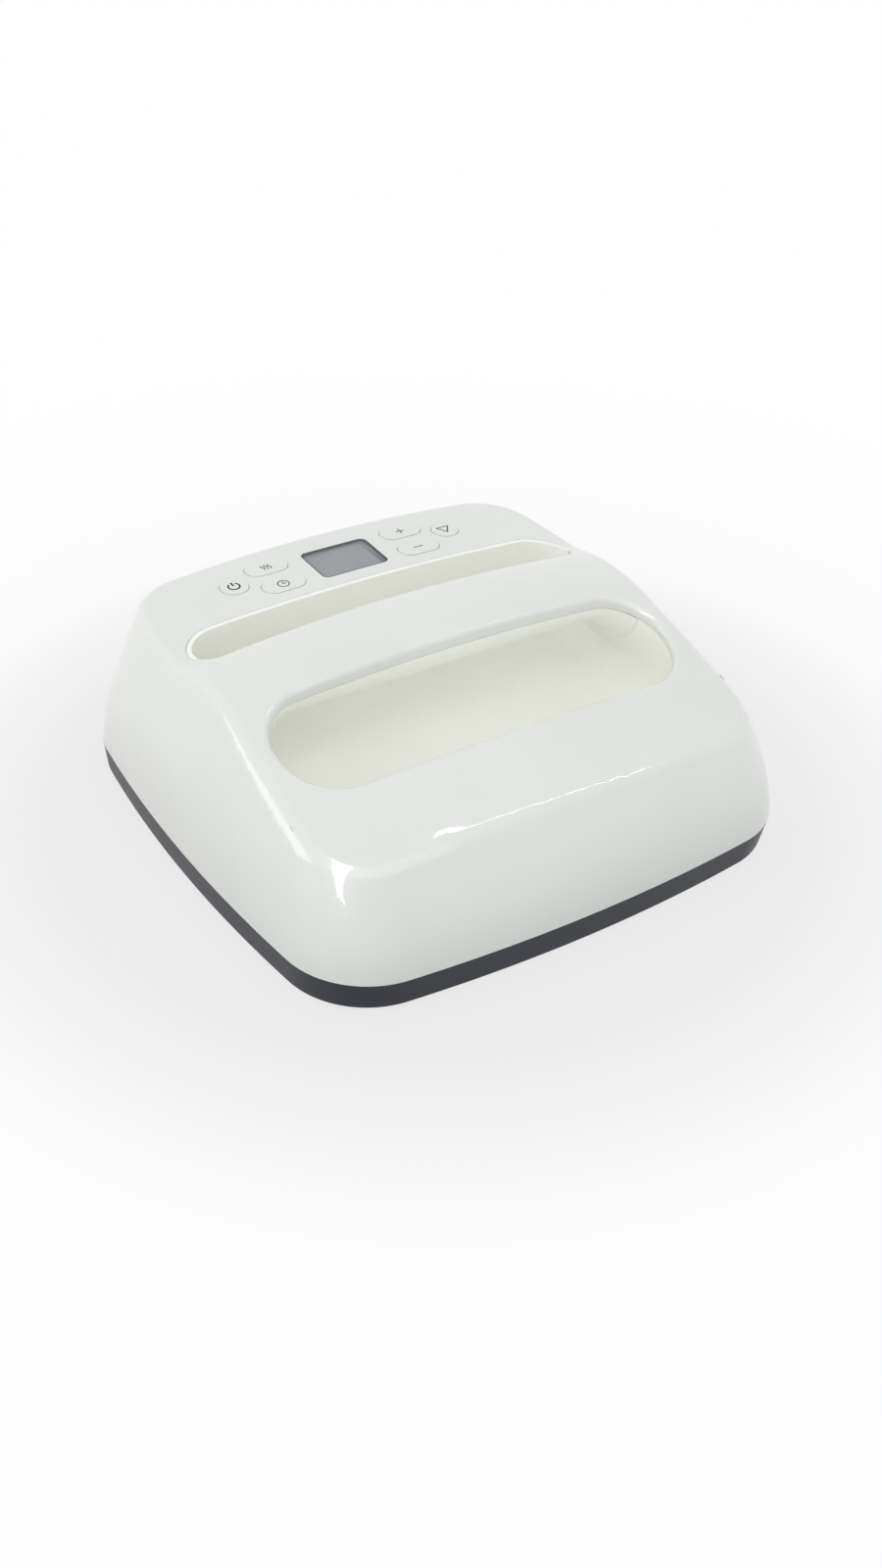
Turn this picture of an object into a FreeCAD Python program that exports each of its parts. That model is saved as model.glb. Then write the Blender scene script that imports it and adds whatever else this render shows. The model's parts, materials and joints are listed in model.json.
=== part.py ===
"""Handheld square heat press: moulded housing with a bridge handle over a 9 inch plate.

Frame: origin at the middle of the plate's working face, +Z up, +X to the right and
+Y to the back, as the user stands in front of the press. Millimetres.
"""
import FreeCAD, Part
import math
import os

from FreeCAD import Vector

# ---------------------------------------------------------------- driving dimensions
# Heat plate
plate_side = 228.6
plate_corner = 12.0
plate_thickness = 9.5
plate_edge_break = 1.0

# Base outline: four bowed sides joined by tangent corner arcs
base_width = 286.0
base_depth = 284.5
base_bow = 11.7
base_corner = 45.0

# Skirt (the dark band round the foot of the housing)
skirt_bottom = 2.6
skirt_top = 18.5
skirt_inset = 3.0
skirt_wall = 3.0
skirt_edge_round = 1.6
skirt_plate_gap = 1.7
ledge_width = 13.0
ledge_thickness = 3.0
tongue_height = 3.0
tongue_thickness = 1.6
tongue_gap = 0.8

# Housing walls, which close in on the well's rim by the panel's height and bulge half way up
upper_bow = 9.2
upper_corner = 31.0
side_bulge = 3.2
rear_bulge = 1.9
front_bulge = 9.8
housing_wall = 2.6
crown_rear_round = 6.5
crown_front_round = 13.0
crown_land = 1.1                   # least flat land between the crown's rim and the well

# Crown: an arched hump that runs out into the front deck, and the panel behind it
hump_top = 107.3
hump_place = 9.0
hump_radius = 88.0
deck_slope = 17.5
hump_side_radius = 960.0
shoulder_drop = 7.3
panel_drop = 8.9
panel_slope = 2.2
panel_side_radius = 2500.0
panel_blend = 4.0

# Finger well: one basin that passes under the handle
well_half_width = 111.0
well_front = 75.0
well_rear = 61.0
well_floor = 50.0
well_side_margin = 8.5
front_deck_depth = 17.5
panel_depth = 56.0
well_side_bow = 1.5
well_end_bow = 3.5
well_front_corner = 30.0
well_rear_corner = 20.0
well_floor_round = 15.0
well_wall = 2.4

# Handle that bridges the well
handle_front = 17.0
handle_rear = 28.0
handle_thickness = 27.3
handle_round = 18.0
handle_front_flare = 25.0
handle_rear_flare = 10.0
handle_lower_flare = 26.0
handle_seam_inset = 3.5
lip_depth = 6.0
lip_front_depth = 3.6
lip_thickness = 3.0
lip_land = 1.1
lip_roll = 2.8
seam_gap = 0.25
slot_rim_start = 36.0
grip_tongue_end = 37.5
grip_tongue_inner = 24.0
grip_tongue_length = 12.0
grip_tongue_thickness = 1.6
grip_tongue_rise = 10.0
well_foot_radius = 5.0
well_foot_side_inset = 33.0
well_foot_end_inset = 21.0

# Keys and display on the panel
key_travel = 0.5
key_gap = 0.25
key_proud = 0.25
key_play = 0.3
key_flange_width = 0.9
key_flange_thickness = 1.0
key_stem_radius = 1.9
round_key_diameter = 15.0
pill_key_length = 24.0
pill_key_width = 13.0
round_key_x = 64.2
keys_behind_well = 26.7
pill_key_x = 41.0
pill_key_rear_shift = 8.9
pill_key_front_shift = -10.1
window_length = 39.6
window_width = 28.0
window_corner = 3.6
window_shift = -1.7
window_recess = 0.3
window_thickness = 1.2
window_gap = 0.15
bezel_flange = 2.0
bezel_drop = 0.15
bezel_wall = 0.6
display_gap = 0.1

# Control board, hung on posts under the panel
board_thickness = 1.6
control_board_depth = 13.0
control_board_end = 11.8
control_board_width = 36.0
control_post_radius = 3.0
control_post_inset = 4.0
switch_side = 6.0
switch_height = 3.6
plunger_radius = 1.6
plunger_rise = 1.2
plunger_seat = 1.2
plunger_gap = 0.25
buzzer_radius = 6.0
buzzer_height = 7.0

# Power board, stood on the heat shield behind the well; places are from the board's middle
power_board_length = 156.0
power_board_width = 44.0
power_board_behind_well = 11.0
power_board_lift = 8.0
standoff_radius = 3.5
standoff_inset = 5.0
relay_size = (19.0, 15.5, 15.5)
relay_place = (-22.0, -11.0)
capacitor_size = (18.0, 9.0, 16.0)
capacitor_place = (4.0, -12.0)
heatsink_size = (36.0, 16.0, 25.0)
heatsink_place = (40.0, -10.0)
heatsink_fins = 6
terminal_size = (30.0, 11.0, 12.0)
terminal_place = (-52.0, -12.0)
fuse_length = 20.0
fuse_radius = 2.6
fuse_place = (-30.0, 12.0)

# Layers between plate and well
gasket_thickness = 3.0
gasket_width = 8.0
element_diameter = 6.4
element_runs = 6
element_side_edge = 24.3
element_end_edge = 16.3
element_end_bend = 13.0
element_clearance = 0.1
shield_thickness = 1.2
shield_edge = 7.5
shield_corner = 26.0
pad_thickness = 14.5
pad_gap = 3.0
pad_corner = 8.0
pocket_gap = 1.0
cutoff_radius = 8.0
cutoff_height = 6.0
cutoff_neck = 2.0
cutoff_place = (0.0, -62.0)
sensor_size = (10.0, 6.0, 4.0)
sensor_place = (0.0, 64.0)

# Wiring
lead_radius = 1.6
lead_bend = 6.0
lead_entry_shift = 2.0
cutoff_lead_turn = 60.0
sensor_lead_radius = 0.9
sensor_lead_rise = 5.0
sensor_lead_entry = 10.0
lead_bend_rise = 10.0
lead_spacing = 6.0
sensor_lead_shift = 66.0
ribbon_width = 14.0
ribbon_thickness = 1.0
ribbon_inset = 14.0
ribbon_shift = 12.0
ribbon_drop = 14.0
ribbon_rise = 18.0

# Fasteners
plate_screw_radius = 2.0
plate_screw_along = 35.0
plate_screw_depth = 5.0
case_screw_radius = 1.75
case_boss_radius = 4.5
case_side_offset = 9.0
case_end_offset = 7.0
case_screw_along = 78.0
case_screw_bite = 12.0
shield_post_radius = 4.5
shield_post_along = 52.0
board_screw_radius = 1.25
board_screw_bite = 6.0
screw_clearance = 0.1

# Cord entry at the rear wall
cord_entry_x = 0.0
cord_entry_z = 44.0
cord_face_inset = 7.75
cord_bore_radius = 3.6
gland_barrel_radius = 6.0
gland_neck_side = 13.0
gland_neck_corner = 2.0
gland_flange_side = 19.0
gland_flange_corner = 4.5
gland_flange_thickness = 4.5
gland_flange_round = 1.5
gland_reach = 12.0
gland_pad_radius = 13.0
gland_pad_thickness = 4.5
gland_nut_thickness = 5.0
gland_nut_gap = 0.3
gland_gap = 0.1

# ---------------------------------------------------------------- derived places
upper_height = hump_top - shoulder_drop
upper_half_width = well_half_width + well_side_margin
upper_rear = well_rear + panel_depth
upper_front = well_front + front_deck_depth
panel_height = hump_top - panel_drop
handle_bottom = hump_top - handle_thickness
well_middle = (well_rear - well_front) / 2
well_foot_place = (well_half_width - well_foot_side_inset, well_rear - well_foot_end_inset)
handle_seam = well_half_width - handle_seam_inset
control_board_y = well_rear + keys_behind_well
control_board_length = 2 * (round_key_x + control_board_end)
round_key_y = control_board_y
pill_key_rear_y = control_board_y + pill_key_rear_shift
pill_key_front_y = control_board_y + pill_key_front_shift
window_y = control_board_y + window_shift
ribbon_x = control_board_length / 2 - ribbon_inset
power_board_y = well_rear + power_board_behind_well + power_board_width / 2
cord_face_y = base_depth / 2 - cord_face_inset
gasket_top = plate_thickness + gasket_thickness
ledge_top = gasket_top + ledge_thickness
shield_bottom = plate_thickness + pad_thickness
shield_top = shield_bottom + shield_thickness
upstand_inner = plate_side / 2 + skirt_plate_gap
upstand_outer = upstand_inner + skirt_wall
ledge_inner = upstand_outer - ledge_width
plate_screw_across = plate_side / 2 - gasket_width / 2
shield_post_across = (ledge_inner + upstand_outer) / 2
shield_side = 2 * (shield_post_across + shield_edge)
pad_side = 2 * (ledge_inner - pad_gap)
case_side_place = (upstand_outer + case_side_offset, case_screw_along)
case_end_place = (case_screw_along, upstand_outer + case_end_offset)
element_pitch = (plate_side - 2 * element_side_edge) / (element_runs - 1)
element_reach = plate_side / 2 - element_end_edge
element_z = plate_thickness - element_diameter / 2
element_end_z = shield_bottom - 1.5
board_bottom = shield_top + power_board_lift
board_top = board_bottom + board_thickness
shell_inset = 1.05 * housing_wall
UP = Vector(0, 0, 1)
OVER = 140.0


# ---------------------------------------------------------------- small helpers
def box(low, high):
    """Box between two corners given as (x, y, z)."""
    size = [b - a for a, b in zip(low, high)]
    return Part.makeBox(size[0], size[1], size[2], Vector(*low))


def cylinder(radius, height, foot, axis=UP):
    """Cylinder standing on the point foot."""
    return Part.makeCylinder(radius, height, Vector(*foot), axis)


def union(shapes):
    """One shape from a list of touching shapes, with the seams between them removed."""
    first, rest = shapes[0], shapes[1:]
    if not rest:
        return first
    return first.fuse(rest).removeSplitter()


def corner_arc(half_x, half_y, side_radius, end_radius, corner):
    """Corner arc tangent to two bowed sides, as its side, middle and end (x, y) points."""
    side_centre = half_x - side_radius
    end_centre = half_y - end_radius
    reach_side = side_radius - corner
    reach_end = end_radius - corner
    span = math.hypot(side_centre, end_centre)
    along = (reach_side ** 2 - reach_end ** 2 + span ** 2) / (2 * span)
    across = math.sqrt(reach_side ** 2 - along ** 2)
    ux, uy = -side_centre / span, end_centre / span
    x = side_centre + along * ux - across * uy
    y = along * uy + across * ux
    if x + y < 0:
        x = side_centre + along * ux + across * uy
        y = along * uy - across * ux
    side = (side_centre + (x - side_centre) * side_radius / reach_side, y * side_radius / reach_side)
    end = (x * end_radius / reach_end, end_centre + (y - end_centre) * end_radius / reach_end)
    lean_x, lean_y = (side[0] + end[0]) / 2 - x, (side[1] + end[1]) / 2 - y
    scale = corner / math.hypot(lean_x, lean_y)
    return side, (x + lean_x * scale, y + lean_y * scale), end


def bowed_outline(z, half_x, ends, middle_y, side_bow, end_bows, corners):
    """Closed wire at height z: outward-bowed sides joined by tangent corner arcs.

    ends, end_bows and corners are (rear, front) pairs; ends are distances from middle_y.
    """
    half_y = sum(ends) / 2
    side_radius = (half_y ** 2 + side_bow ** 2) / (2 * side_bow)
    halves = []
    for end, bow, corner in zip(ends, end_bows, corners):
        end_radius = (half_x ** 2 + bow ** 2) / (2 * bow)
        halves.append(corner_arc(half_x, end, side_radius, end_radius, corner))
    (rear_side, rear_middle, rear_end), (front_side, front_middle, front_end) = halves

    def point(sx, sy, place):
        return Vector(sx * place[0], middle_y + sy * place[1], z)

    def arc(*points):
        return Part.Arc(*points).toShape()

    return Part.Wire([
        arc(point(1, -1, front_side), point(1, 1, (half_x, 0)), point(1, 1, rear_side)),
        arc(point(1, 1, rear_side), point(1, 1, rear_middle), point(1, 1, rear_end)),
        arc(point(1, 1, rear_end), point(0, 1, (0, ends[0])), point(-1, 1, rear_end)),
        arc(point(-1, 1, rear_end), point(-1, 1, rear_middle), point(-1, 1, rear_side)),
        arc(point(-1, 1, rear_side), point(-1, 1, (half_x, 0)), point(-1, -1, front_side)),
        arc(point(-1, -1, front_side), point(-1, -1, front_middle), point(-1, -1, front_end)),
        arc(point(-1, -1, front_end), point(0, -1, (0, ends[1])), point(1, -1, front_end)),
        arc(point(1, -1, front_end), point(1, -1, front_middle), point(1, -1, front_side)),
    ])


def rounded_rectangle(z, low, high, corners):
    """Closed wire at height z between (x, y) corners; corners are (front, rear) radii."""
    x0, y0 = low
    x1, y1 = high
    front, rear = corners
    lean = 1 - math.sqrt(0.5)

    def point(x, y):
        return Vector(x, y, z)

    arcs = [
        (point(x1 - front, y0), point(x1 - front * lean, y0 + front * lean), point(x1, y0 + front)),
        (point(x1, y1 - rear), point(x1 - rear * lean, y1 - rear * lean), point(x1 - rear, y1)),
        (point(x0 + rear, y1), point(x0 + rear * lean, y1 - rear * lean), point(x0, y1 - rear)),
        (point(x0, y0 + front), point(x0 + front * lean, y0 + front * lean), point(x0 + front, y0)),
    ]
    edges = []
    for i, arc in enumerate(arcs):
        edges.append(Part.Arc(*arc).toShape())
        following = arcs[(i + 1) % len(arcs)][0]
        if arc[2].distanceToPoint(following) > 1e-6:
            edges.append(Part.LineSegment(arc[2], following).toShape())
    return Part.Wire(edges)


def slab(low_z, high_z, side, corner, centre=(0, 0)):
    """Square plate with rounded corners."""
    half = side / 2
    wire = rounded_rectangle(low_z, (centre[0] - half, centre[1] - half),
                             (centre[0] + half, centre[1] + half), (corner, corner))
    return Part.Face(wire).extrude(Vector(0, 0, high_z - low_z))


def prism(wire, height):
    """Solid from a flat wire raised along +Z."""
    return Part.Face(wire).extrude(Vector(0, 0, height))


def pan_screw(radius, bite, seat, up=False):
    """Pan-head screw along Z; seat is the middle of the head's underside."""
    sign = 1 if up else -1
    head = cylinder(2 * radius, 1.2 * radius, seat, Vector(0, 0, -sign))
    shank = cylinder(radius, bite, seat, Vector(0, 0, sign))
    return union([head, shank])


def screw_hole(radius, depth, mouth, up=False):
    """Hole for a screw, a little wider than its shank; mouth is the middle of its opening."""
    return cylinder(radius + screw_clearance, depth, mouth, Vector(0, 0, 1 if up else -1))


def four_ways(x, y):
    """The four mirror images of a point."""
    return [(sx * x, sy * y) for sx in (-1, 1) for sy in (-1, 1)]


def both_ways(across, along):
    """Eight places: two on each side of a square."""
    return four_ways(across, along) + four_ways(along, across)


def path_wire(points, bends=None):
    """Straight runs joined by tangent arcs; bends lists a radius per corner, or is worked out."""
    points = [Vector(*point) for point in points]
    edges = []
    start = points[0]
    for i in range(1, len(points) - 1):
        corner = points[i]
        back, ahead = points[i - 1] - corner, points[i + 1] - corner
        half_turn = (math.pi - back.getAngle(ahead)) / 2
        room = 0.45 * min(back.Length, ahead.Length)
        radius = bends[i - 1] if bends else room / math.tan(half_turn)
        back.normalize()
        ahead.normalize()
        trim = radius * math.tan(half_turn)
        first, last = corner + back * trim, corner + ahead * trim
        inward = (back + ahead).normalize()
        middle = corner + inward * (radius / math.cos(half_turn) - radius)
        if first.distanceToPoint(start) > 1e-6:
            edges.append(Part.LineSegment(start, first).toShape())
        edges.append(Part.Arc(first, middle, last).toShape())
        start = last
    if points[-1].distanceToPoint(start) > 1e-6:
        edges.append(Part.LineSegment(start, points[-1]).toShape())
    return Part.Wire(edges)


def tube(points, radius, bends=None):
    """Round rod or wire along a path of straight runs and arcs."""
    start = Vector(*points[0])
    ring = Part.Wire([Part.makeCircle(radius, start, Vector(*points[1]) - start)])
    return path_wire(points, bends).makePipeShell([ring], True, False)


# ---------------------------------------------------------------- housing surfaces
def smooth_max(a, b, width):
    """The larger of two heights, with a rounded valley of the given width."""
    near = max(width - abs(a - b), 0) / width
    return max(a, b) + near * near * width / 4


def panel_z(y):
    """Height of the control panel on the centre line."""
    return panel_height + (y - well_rear) * math.tan(math.radians(panel_slope))


def crown_z(x, y):
    """Height of the crown: front deck and hump, then the panel."""
    angle = math.radians(deck_slope)
    tangent_y = hump_place - hump_radius * math.sin(angle)
    if y < tangent_y:
        tangent_z = hump_top - hump_radius * (1 - math.cos(angle))
        hump = tangent_z + (y - tangent_y) * math.tan(angle)
    else:
        reach = min(y - hump_place, 0.8 * hump_radius)
        hump = hump_top - hump_radius + math.sqrt(hump_radius ** 2 - reach ** 2)
    hump -= x * x / (2 * hump_side_radius)
    if y <= hump_place:
        return hump
    return smooth_max(hump, panel_z(y) - x * x / (2 * panel_side_radius), panel_blend)


def below_crown(drop=0.0, front_drop=None):
    """Everything below the crown lowered by drop, or by front_drop at the well's front edge."""
    step = 12.0
    reach = 13
    front_drop = drop if front_drop is None else front_drop

    def lowered(x, y):
        fade = (-y - handle_front) / (well_front - handle_front)
        fade = min(max(fade, 0.0), 1.0)
        return Vector(x, y, crown_z(x, y) - drop + (drop - front_drop) * fade)

    grid = [[lowered(i * step, j * step) for j in range(-reach, reach + 1)]
            for i in range(-reach, reach + 1)]
    surface = Part.BSplineSurface()
    surface.interpolate(grid)
    return surface.toShape().extrude(Vector(0, 0, -OVER))


def housing_outline(z, inset=0.0):
    """Outline of the housing walls at height z, moved inwards by inset."""
    t = (z - skirt_top) / (upper_height - skirt_top)
    bulge = 4 * t * (1 - t)
    half_x = (1 - t) * base_width / 2 + t * upper_half_width + side_bulge * bulge
    rear = (1 - t) * base_depth / 2 + t * upper_rear + rear_bulge * bulge
    front = (1 - t) * base_depth / 2 + t * upper_front + front_bulge * bulge
    bow = (1 - t) * base_bow + t * upper_bow
    corner = (1 - t) * base_corner + t * upper_corner
    middle = (rear - front) / 2
    half_y = (rear + front) / 2 - inset
    return bowed_outline(z, half_x - inset, (half_y, half_y), middle, bow, (bow, bow),
                         (corner - inset, corner - inset))


def housing_walls(inset=0.0):
    """Solid inside the housing walls, from the skirt up past the crown."""
    levels = [skirt_top + share * (upper_height - skirt_top) for share in (0.0, 0.4, 0.8, 1.15)]
    return Part.makeLoft([housing_outline(z, inset) for z in levels], True, False)


def rounded_edges(solid, radii):
    """Round edges of a solid; radii gives (edge, radius at its start, radius at its end)."""
    sheet = FreeCAD.newDocument("rounding")
    base = sheet.addObject("Part::Feature", "base")
    base.Shape = solid
    fillet = sheet.addObject("Part::Fillet", "fillet")
    fillet.Base = base
    numbers = []
    for edge, start, end in radii:
        number = next(i for i, other in enumerate(solid.Edges, 1) if other.isSame(edge))
        numbers.append((number, start, end))
    fillet.Edges = numbers
    sheet.recompute()
    rounded = fillet.Shape.copy()
    FreeCAD.closeDocument(sheet.Name)
    if rounded.isNull():
        raise RuntimeError("an edge could not be rounded")
    return rounded


def front_round():
    """Rounding of the crown's front rim, limited by the land between the rim and the well."""
    lean = math.atan2(base_width / 2 - upper_half_width + 4 * side_bulge, upper_height - skirt_top)
    fall = upper_half_width / hump_side_radius
    room = well_side_margin - crown_land
    return min(crown_front_round, room / math.tan((math.pi / 2 - lean - fall) / 2))


def housing_solid():
    """Housing as one solid block; the crown's rim is tight at the rear and softer in front."""
    block = housing_walls().common(below_crown())
    crown = max(block.Faces, key=lambda face: face.CenterOfMass.z)
    radii = []
    for edge in crown.Edges:
        ends = [crown_rear_round if vertex.Point.y > 0 else front_round()
                for vertex in (edge.Vertexes[0], edge.Vertexes[-1])]
        radii.append((edge, *ends))
    return rounded_edges(block, radii)


def well_space(grow=0.0):
    """The basin for the fingers as if the handle were not there, enlarged by grow."""
    wire = bowed_outline(well_floor - grow, well_half_width + grow,
                         (well_rear - well_middle + grow, well_front + well_middle + grow),
                         well_middle, well_side_bow, (well_end_bow, well_end_bow),
                         (well_rear_corner + grow, well_front_corner + grow))
    space = prism(wire, OVER - well_floor)
    floor_edges = [edge for edge in space.Edges
                   if edge.BoundBox.ZMax < well_floor - grow + 0.01]
    return space.makeFillet(well_floor_round + grow, floor_edges)


def flare(distance, radius):
    """Run-out of a flare of the given radius at a distance past its start."""
    distance = min(max(distance, 0.0), radius)
    return radius - math.sqrt(radius ** 2 - distance ** 2)


def handle_section(x, inset=0.0):
    """Upright U section of the handle at x, open upwards past the crown."""
    past = abs(x) - well_half_width
    front = -handle_front - flare(past + handle_front_flare, handle_front_flare + inset)
    rear = handle_rear + flare(past + handle_rear_flare, handle_rear_flare + inset)
    drop = flare(past + handle_lower_flare, handle_lower_flare + inset)
    bottom = handle_bottom - drop + inset
    radius = handle_round + 0.6 * drop - inset
    front, rear = front + inset, rear - inset
    lean = radius * (1 - math.sqrt(0.5))

    def point(y, z):
        return Vector(x, y, z)

    edges = [
        Part.LineSegment(point(front, OVER), point(front, bottom + radius)).toShape(),
        Part.Arc(point(front, bottom + radius), point(front + lean, bottom + lean),
                 point(front + radius, bottom)).toShape(),
        Part.LineSegment(point(front + radius, bottom), point(rear - radius, bottom)).toShape(),
        Part.Arc(point(rear - radius, bottom), point(rear - lean, bottom + lean),
                 point(rear, bottom + radius)).toShape(),
        Part.LineSegment(point(rear, bottom + radius), point(rear, OVER)).toShape(),
        Part.LineSegment(point(rear, OVER), point(front, OVER)).toShape(),
    ]
    return Part.Wire(edges)


def handle_bar(inset=0.0, land=0.3):
    """The handle with its flared ends, running into both end walls of the well.

    land is how far short of the end wall a flare stops and the bar runs straight on.
    """
    start = well_half_width - max(handle_front_flare, handle_lower_flare)
    middle = Part.Face(handle_section(-start, inset)).extrude(Vector(2 * start, 0, 0))
    stations = [start]
    stations += [well_half_width + inset - distance
                 for distance in (20.0, 15.0, 10.0, 6.0, 3.0, land + 0.9, land)]
    root = 10.0
    parts = [middle]
    for side in (-1, 1):
        sections = [handle_section(side * x, inset) for x in stations]
        parts.append(Part.makeLoft(sections, True, False))
        parts.append(Part.Face(sections[-1]).extrude(Vector(side * root, 0, 0)))
    return parts[0].fuse(parts[1:])


# ---------------------------------------------------------------- panel frame
def on_panel(shape, x=0.0, y=well_rear):
    """Move a shape drawn about the origin to the panel, its +Z along the panel's normal."""
    place = FreeCAD.Placement(Vector(x, y, panel_z(y)),
                              FreeCAD.Rotation(Vector(1, 0, 0), panel_slope))
    moved = shape.copy()
    moved.Placement = place.multiply(moved.Placement)
    return moved


def panel_sag(x):
    """How far the crowned panel lies below its middle at x."""
    return x * x / (2 * panel_side_radius)


KEYS = {
    "power_key": ("round", -round_key_x, round_key_y),
    "temperature_key": ("pill", -pill_key_x, pill_key_rear_y),
    "timer_key": ("pill", -pill_key_x, pill_key_front_y),
    "plus_key": ("pill", pill_key_x, pill_key_rear_y),
    "minus_key": ("pill", pill_key_x, pill_key_front_y),
    "start_key": ("round", round_key_x, round_key_y),
}


def key_prism(form, grow, low, high):
    """Upright prism of a key's outline, enlarged by grow, between two heights."""
    if form == "round":
        return cylinder(round_key_diameter / 2 + grow, high - low, (0, 0, low))
    half_x, half_y = pill_key_length / 2 + grow, pill_key_width / 2 + grow
    wire = rounded_rectangle(low, (-half_x, -half_y), (half_x, half_y), (half_y, half_y))
    return prism(wire, high - low)


def window_prism(grow, low, high):
    """Upright prism of the window's outline, enlarged by grow, between two heights."""
    half_x, half_y = window_length / 2 + grow, window_width / 2 + grow
    corner = max(window_corner + grow, 0.5)
    wire = rounded_rectangle(low, (-half_x, -half_y), (half_x, half_y), (corner, corner))
    return prism(wire, high - low)


def control_posts():
    """Places of the control board's posts, from the board's middle."""
    return four_ways(control_board_length / 2 - control_post_inset,
                     control_board_width / 2 - control_post_inset)


# ---------------------------------------------------------------- housing pieces
def well_void():
    """The open space above the well's lining and round the handle."""
    return well_space().cut(handle_bar())


def rolled_housing():
    """Housing block with the well cut out and the scoop's rim rolled over."""
    outer = housing_solid().cut(well_void())
    rim = []
    for face in outer.Faces:
        middle = face.CenterOfMass
        if middle.z > well_floor + 10 and abs(face.normalAt(*face.Surface.parameter(middle)).z) > 0.8:
            rim += [edge for edge in face.Edges
                    if abs(edge.BoundBox.XMax) < well_half_width + 2
                    and abs(edge.BoundBox.XMin) < well_half_width + 2
                    and edge.BoundBox.YMax < 0 and edge.BoundBox.YMin > -well_front - 2]
    return outer.makeFillet(lip_roll, rim)


def shell_hollow():
    """Inside of the top shell: the housing less its wall and less the lip round the well."""
    inside = housing_walls(shell_inset).common(below_crown(housing_wall))
    lip = well_space(lip_thickness).cut(handle_bar(lip_thickness, lip_land))
    lip = lip.cut(below_crown(lip_depth, lip_front_depth))
    lip = lip.common(box((-OVER, -OVER, 0), (OVER, slot_rim_start, OVER)))
    return inside.cut(lip)


def case_screw_places():
    """Where the case screws rise from the skirt into the shell."""
    return four_ways(*case_side_place) + four_ways(*case_end_place)


def top_shell():
    """Moulded top: skin, lip, screw towers, board posts, key and window openings."""
    shell = rolled_housing().cut(shell_hollow())
    slot_ring = well_space(well_wall + seam_gap).cut(handle_bar())
    slot_ring = slot_ring.common(box((-OVER, slot_rim_start, 0), (OVER, OVER, OVER)))
    shell = shell.cut(slot_ring)
    towers = [cylinder(case_boss_radius, OVER, (x, y, shield_bottom)) for x, y in case_screw_places()]
    towers.append(cylinder(gland_pad_radius, OVER, gland_point(-gland_pad_thickness),
                           Vector(0, 1, 0)))
    within = housing_walls(housing_wall / 2)
    for x, y in control_posts():
        post = cylinder(control_post_radius, control_board_depth - housing_wall / 2, (x, y, 0),
                        Vector(0, 0, -1))
        post.translate(Vector(0, 0, -housing_wall / 2 - panel_sag(x)))
        post = post.common(box((-OVER, -OVER, -control_board_depth), (OVER, OVER, 0)))
        towers.append(on_panel(post, 0, control_board_y))
    shell = shell.fuse([tower.common(within) for tower in towers])
    holes = [screw_hole(case_screw_radius, case_screw_bite + 1, (x, y, shield_bottom), up=True)
             for x, y in case_screw_places()]
    for x, y in control_posts():
        hole = screw_hole(board_screw_radius, board_screw_bite, (x, y, -control_board_depth), up=True)
        holes.append(on_panel(hole, 0, control_board_y))
    for form, x, y in KEYS.values():
        holes.append(on_panel(key_prism(form, key_gap, -2 * housing_wall, housing_wall), x, y))
    holes.append(on_panel(window_prism(0, -2 * housing_wall, housing_wall), 0, window_y))
    holes.append(gland_block(-OVER / 2, OVER / 2, gland_neck_side + 2 * gland_gap, gland_neck_corner))
    holes.append(gland_block(0, OVER, gland_flange_side + 2 * seam_gap,
                             gland_flange_corner + seam_gap))
    return shell.cut(holes)


def finger_well():
    """Cream lining of the well, with the flared roots of the handle and four feet."""
    lining = well_space(well_wall).cut(well_space())
    bar = handle_bar()
    reach = well_half_width + well_wall
    for side in (-1, 1):
        low, high = sorted((side * handle_seam, side * reach))
        lining = lining.fuse(bar.common(box((low, -OVER, 0), (high, OVER, OVER))))
    lining = lining.cut(handle_bar(well_wall))
    lip_line = below_crown(lip_depth + seam_gap, lip_front_depth + seam_gap)
    rim = below_crown().common(box((-OVER, slot_rim_start + seam_gap, 0), (OVER, OVER, OVER)))
    lining = lining.common(lip_line.fuse(rim))
    lining = max(lining.Solids, key=lambda solid: solid.Volume)
    foot_height = well_floor - well_wall / 2 - shield_top
    feet = [cylinder(well_foot_radius, foot_height, (x, y, shield_top))
            for x, y in four_ways(*well_foot_place)]
    holes = [screw_hole(case_screw_radius, case_screw_bite, (x, y, shield_top), up=True)
             for x, y in four_ways(*well_foot_place)]
    return lining.fuse(feet).cut(holes)


def grip_underside():
    """Cream trough that closes the handle from below, with tongues inside the shell's lip."""
    half = handle_seam - seam_gap
    middle = box((-half, -OVER, 0), (half, OVER, OVER))
    trough = handle_bar().cut(handle_bar(well_wall)).common(middle)
    trough = trough.common(below_crown(lip_depth + seam_gap))
    trough = max(trough.Solids, key=lambda solid: solid.Volume)
    inner = lip_thickness + seam_gap
    outer_x = handle_seam - grip_tongue_end
    tongues = []
    for x in (-outer_x, -grip_tongue_inner, grip_tongue_inner, outer_x):
        def ring(outset, inset):
            run = Vector(grip_tongue_length, 0, 0)
            start = x - grip_tongue_length / 2
            solid = Part.Face(handle_section(0, outset)).extrude(run)
            solid = solid.cut(Part.Face(handle_section(0, inset)).extrude(run))
            return solid.translated(Vector(start, 0, 0))
        keep_sides = box((-OVER, -OVER, handle_bottom + grip_tongue_rise), (OVER, OVER, OVER))
        root = ring(well_wall / 2, inner + grip_tongue_thickness)
        root = root.common(below_crown(lip_depth + seam_gap))
        tongue = ring(inner, inner + grip_tongue_thickness).common(below_crown(housing_wall + seam_gap))
        tongues += [root.common(keep_sides), tongue.common(keep_sides)]
    return trough.fuse(tongues).removeSplitter()


def square_ring(low, high, outer, inner, corner):
    """Square ring between two heights; outer and inner are half sides."""
    inner_corner = max(corner - (outer - inner), 1.0)
    return slab(low, high, 2 * outer, corner).cut(slab(low - 1, high + 1, 2 * inner, inner_corner))


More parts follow.
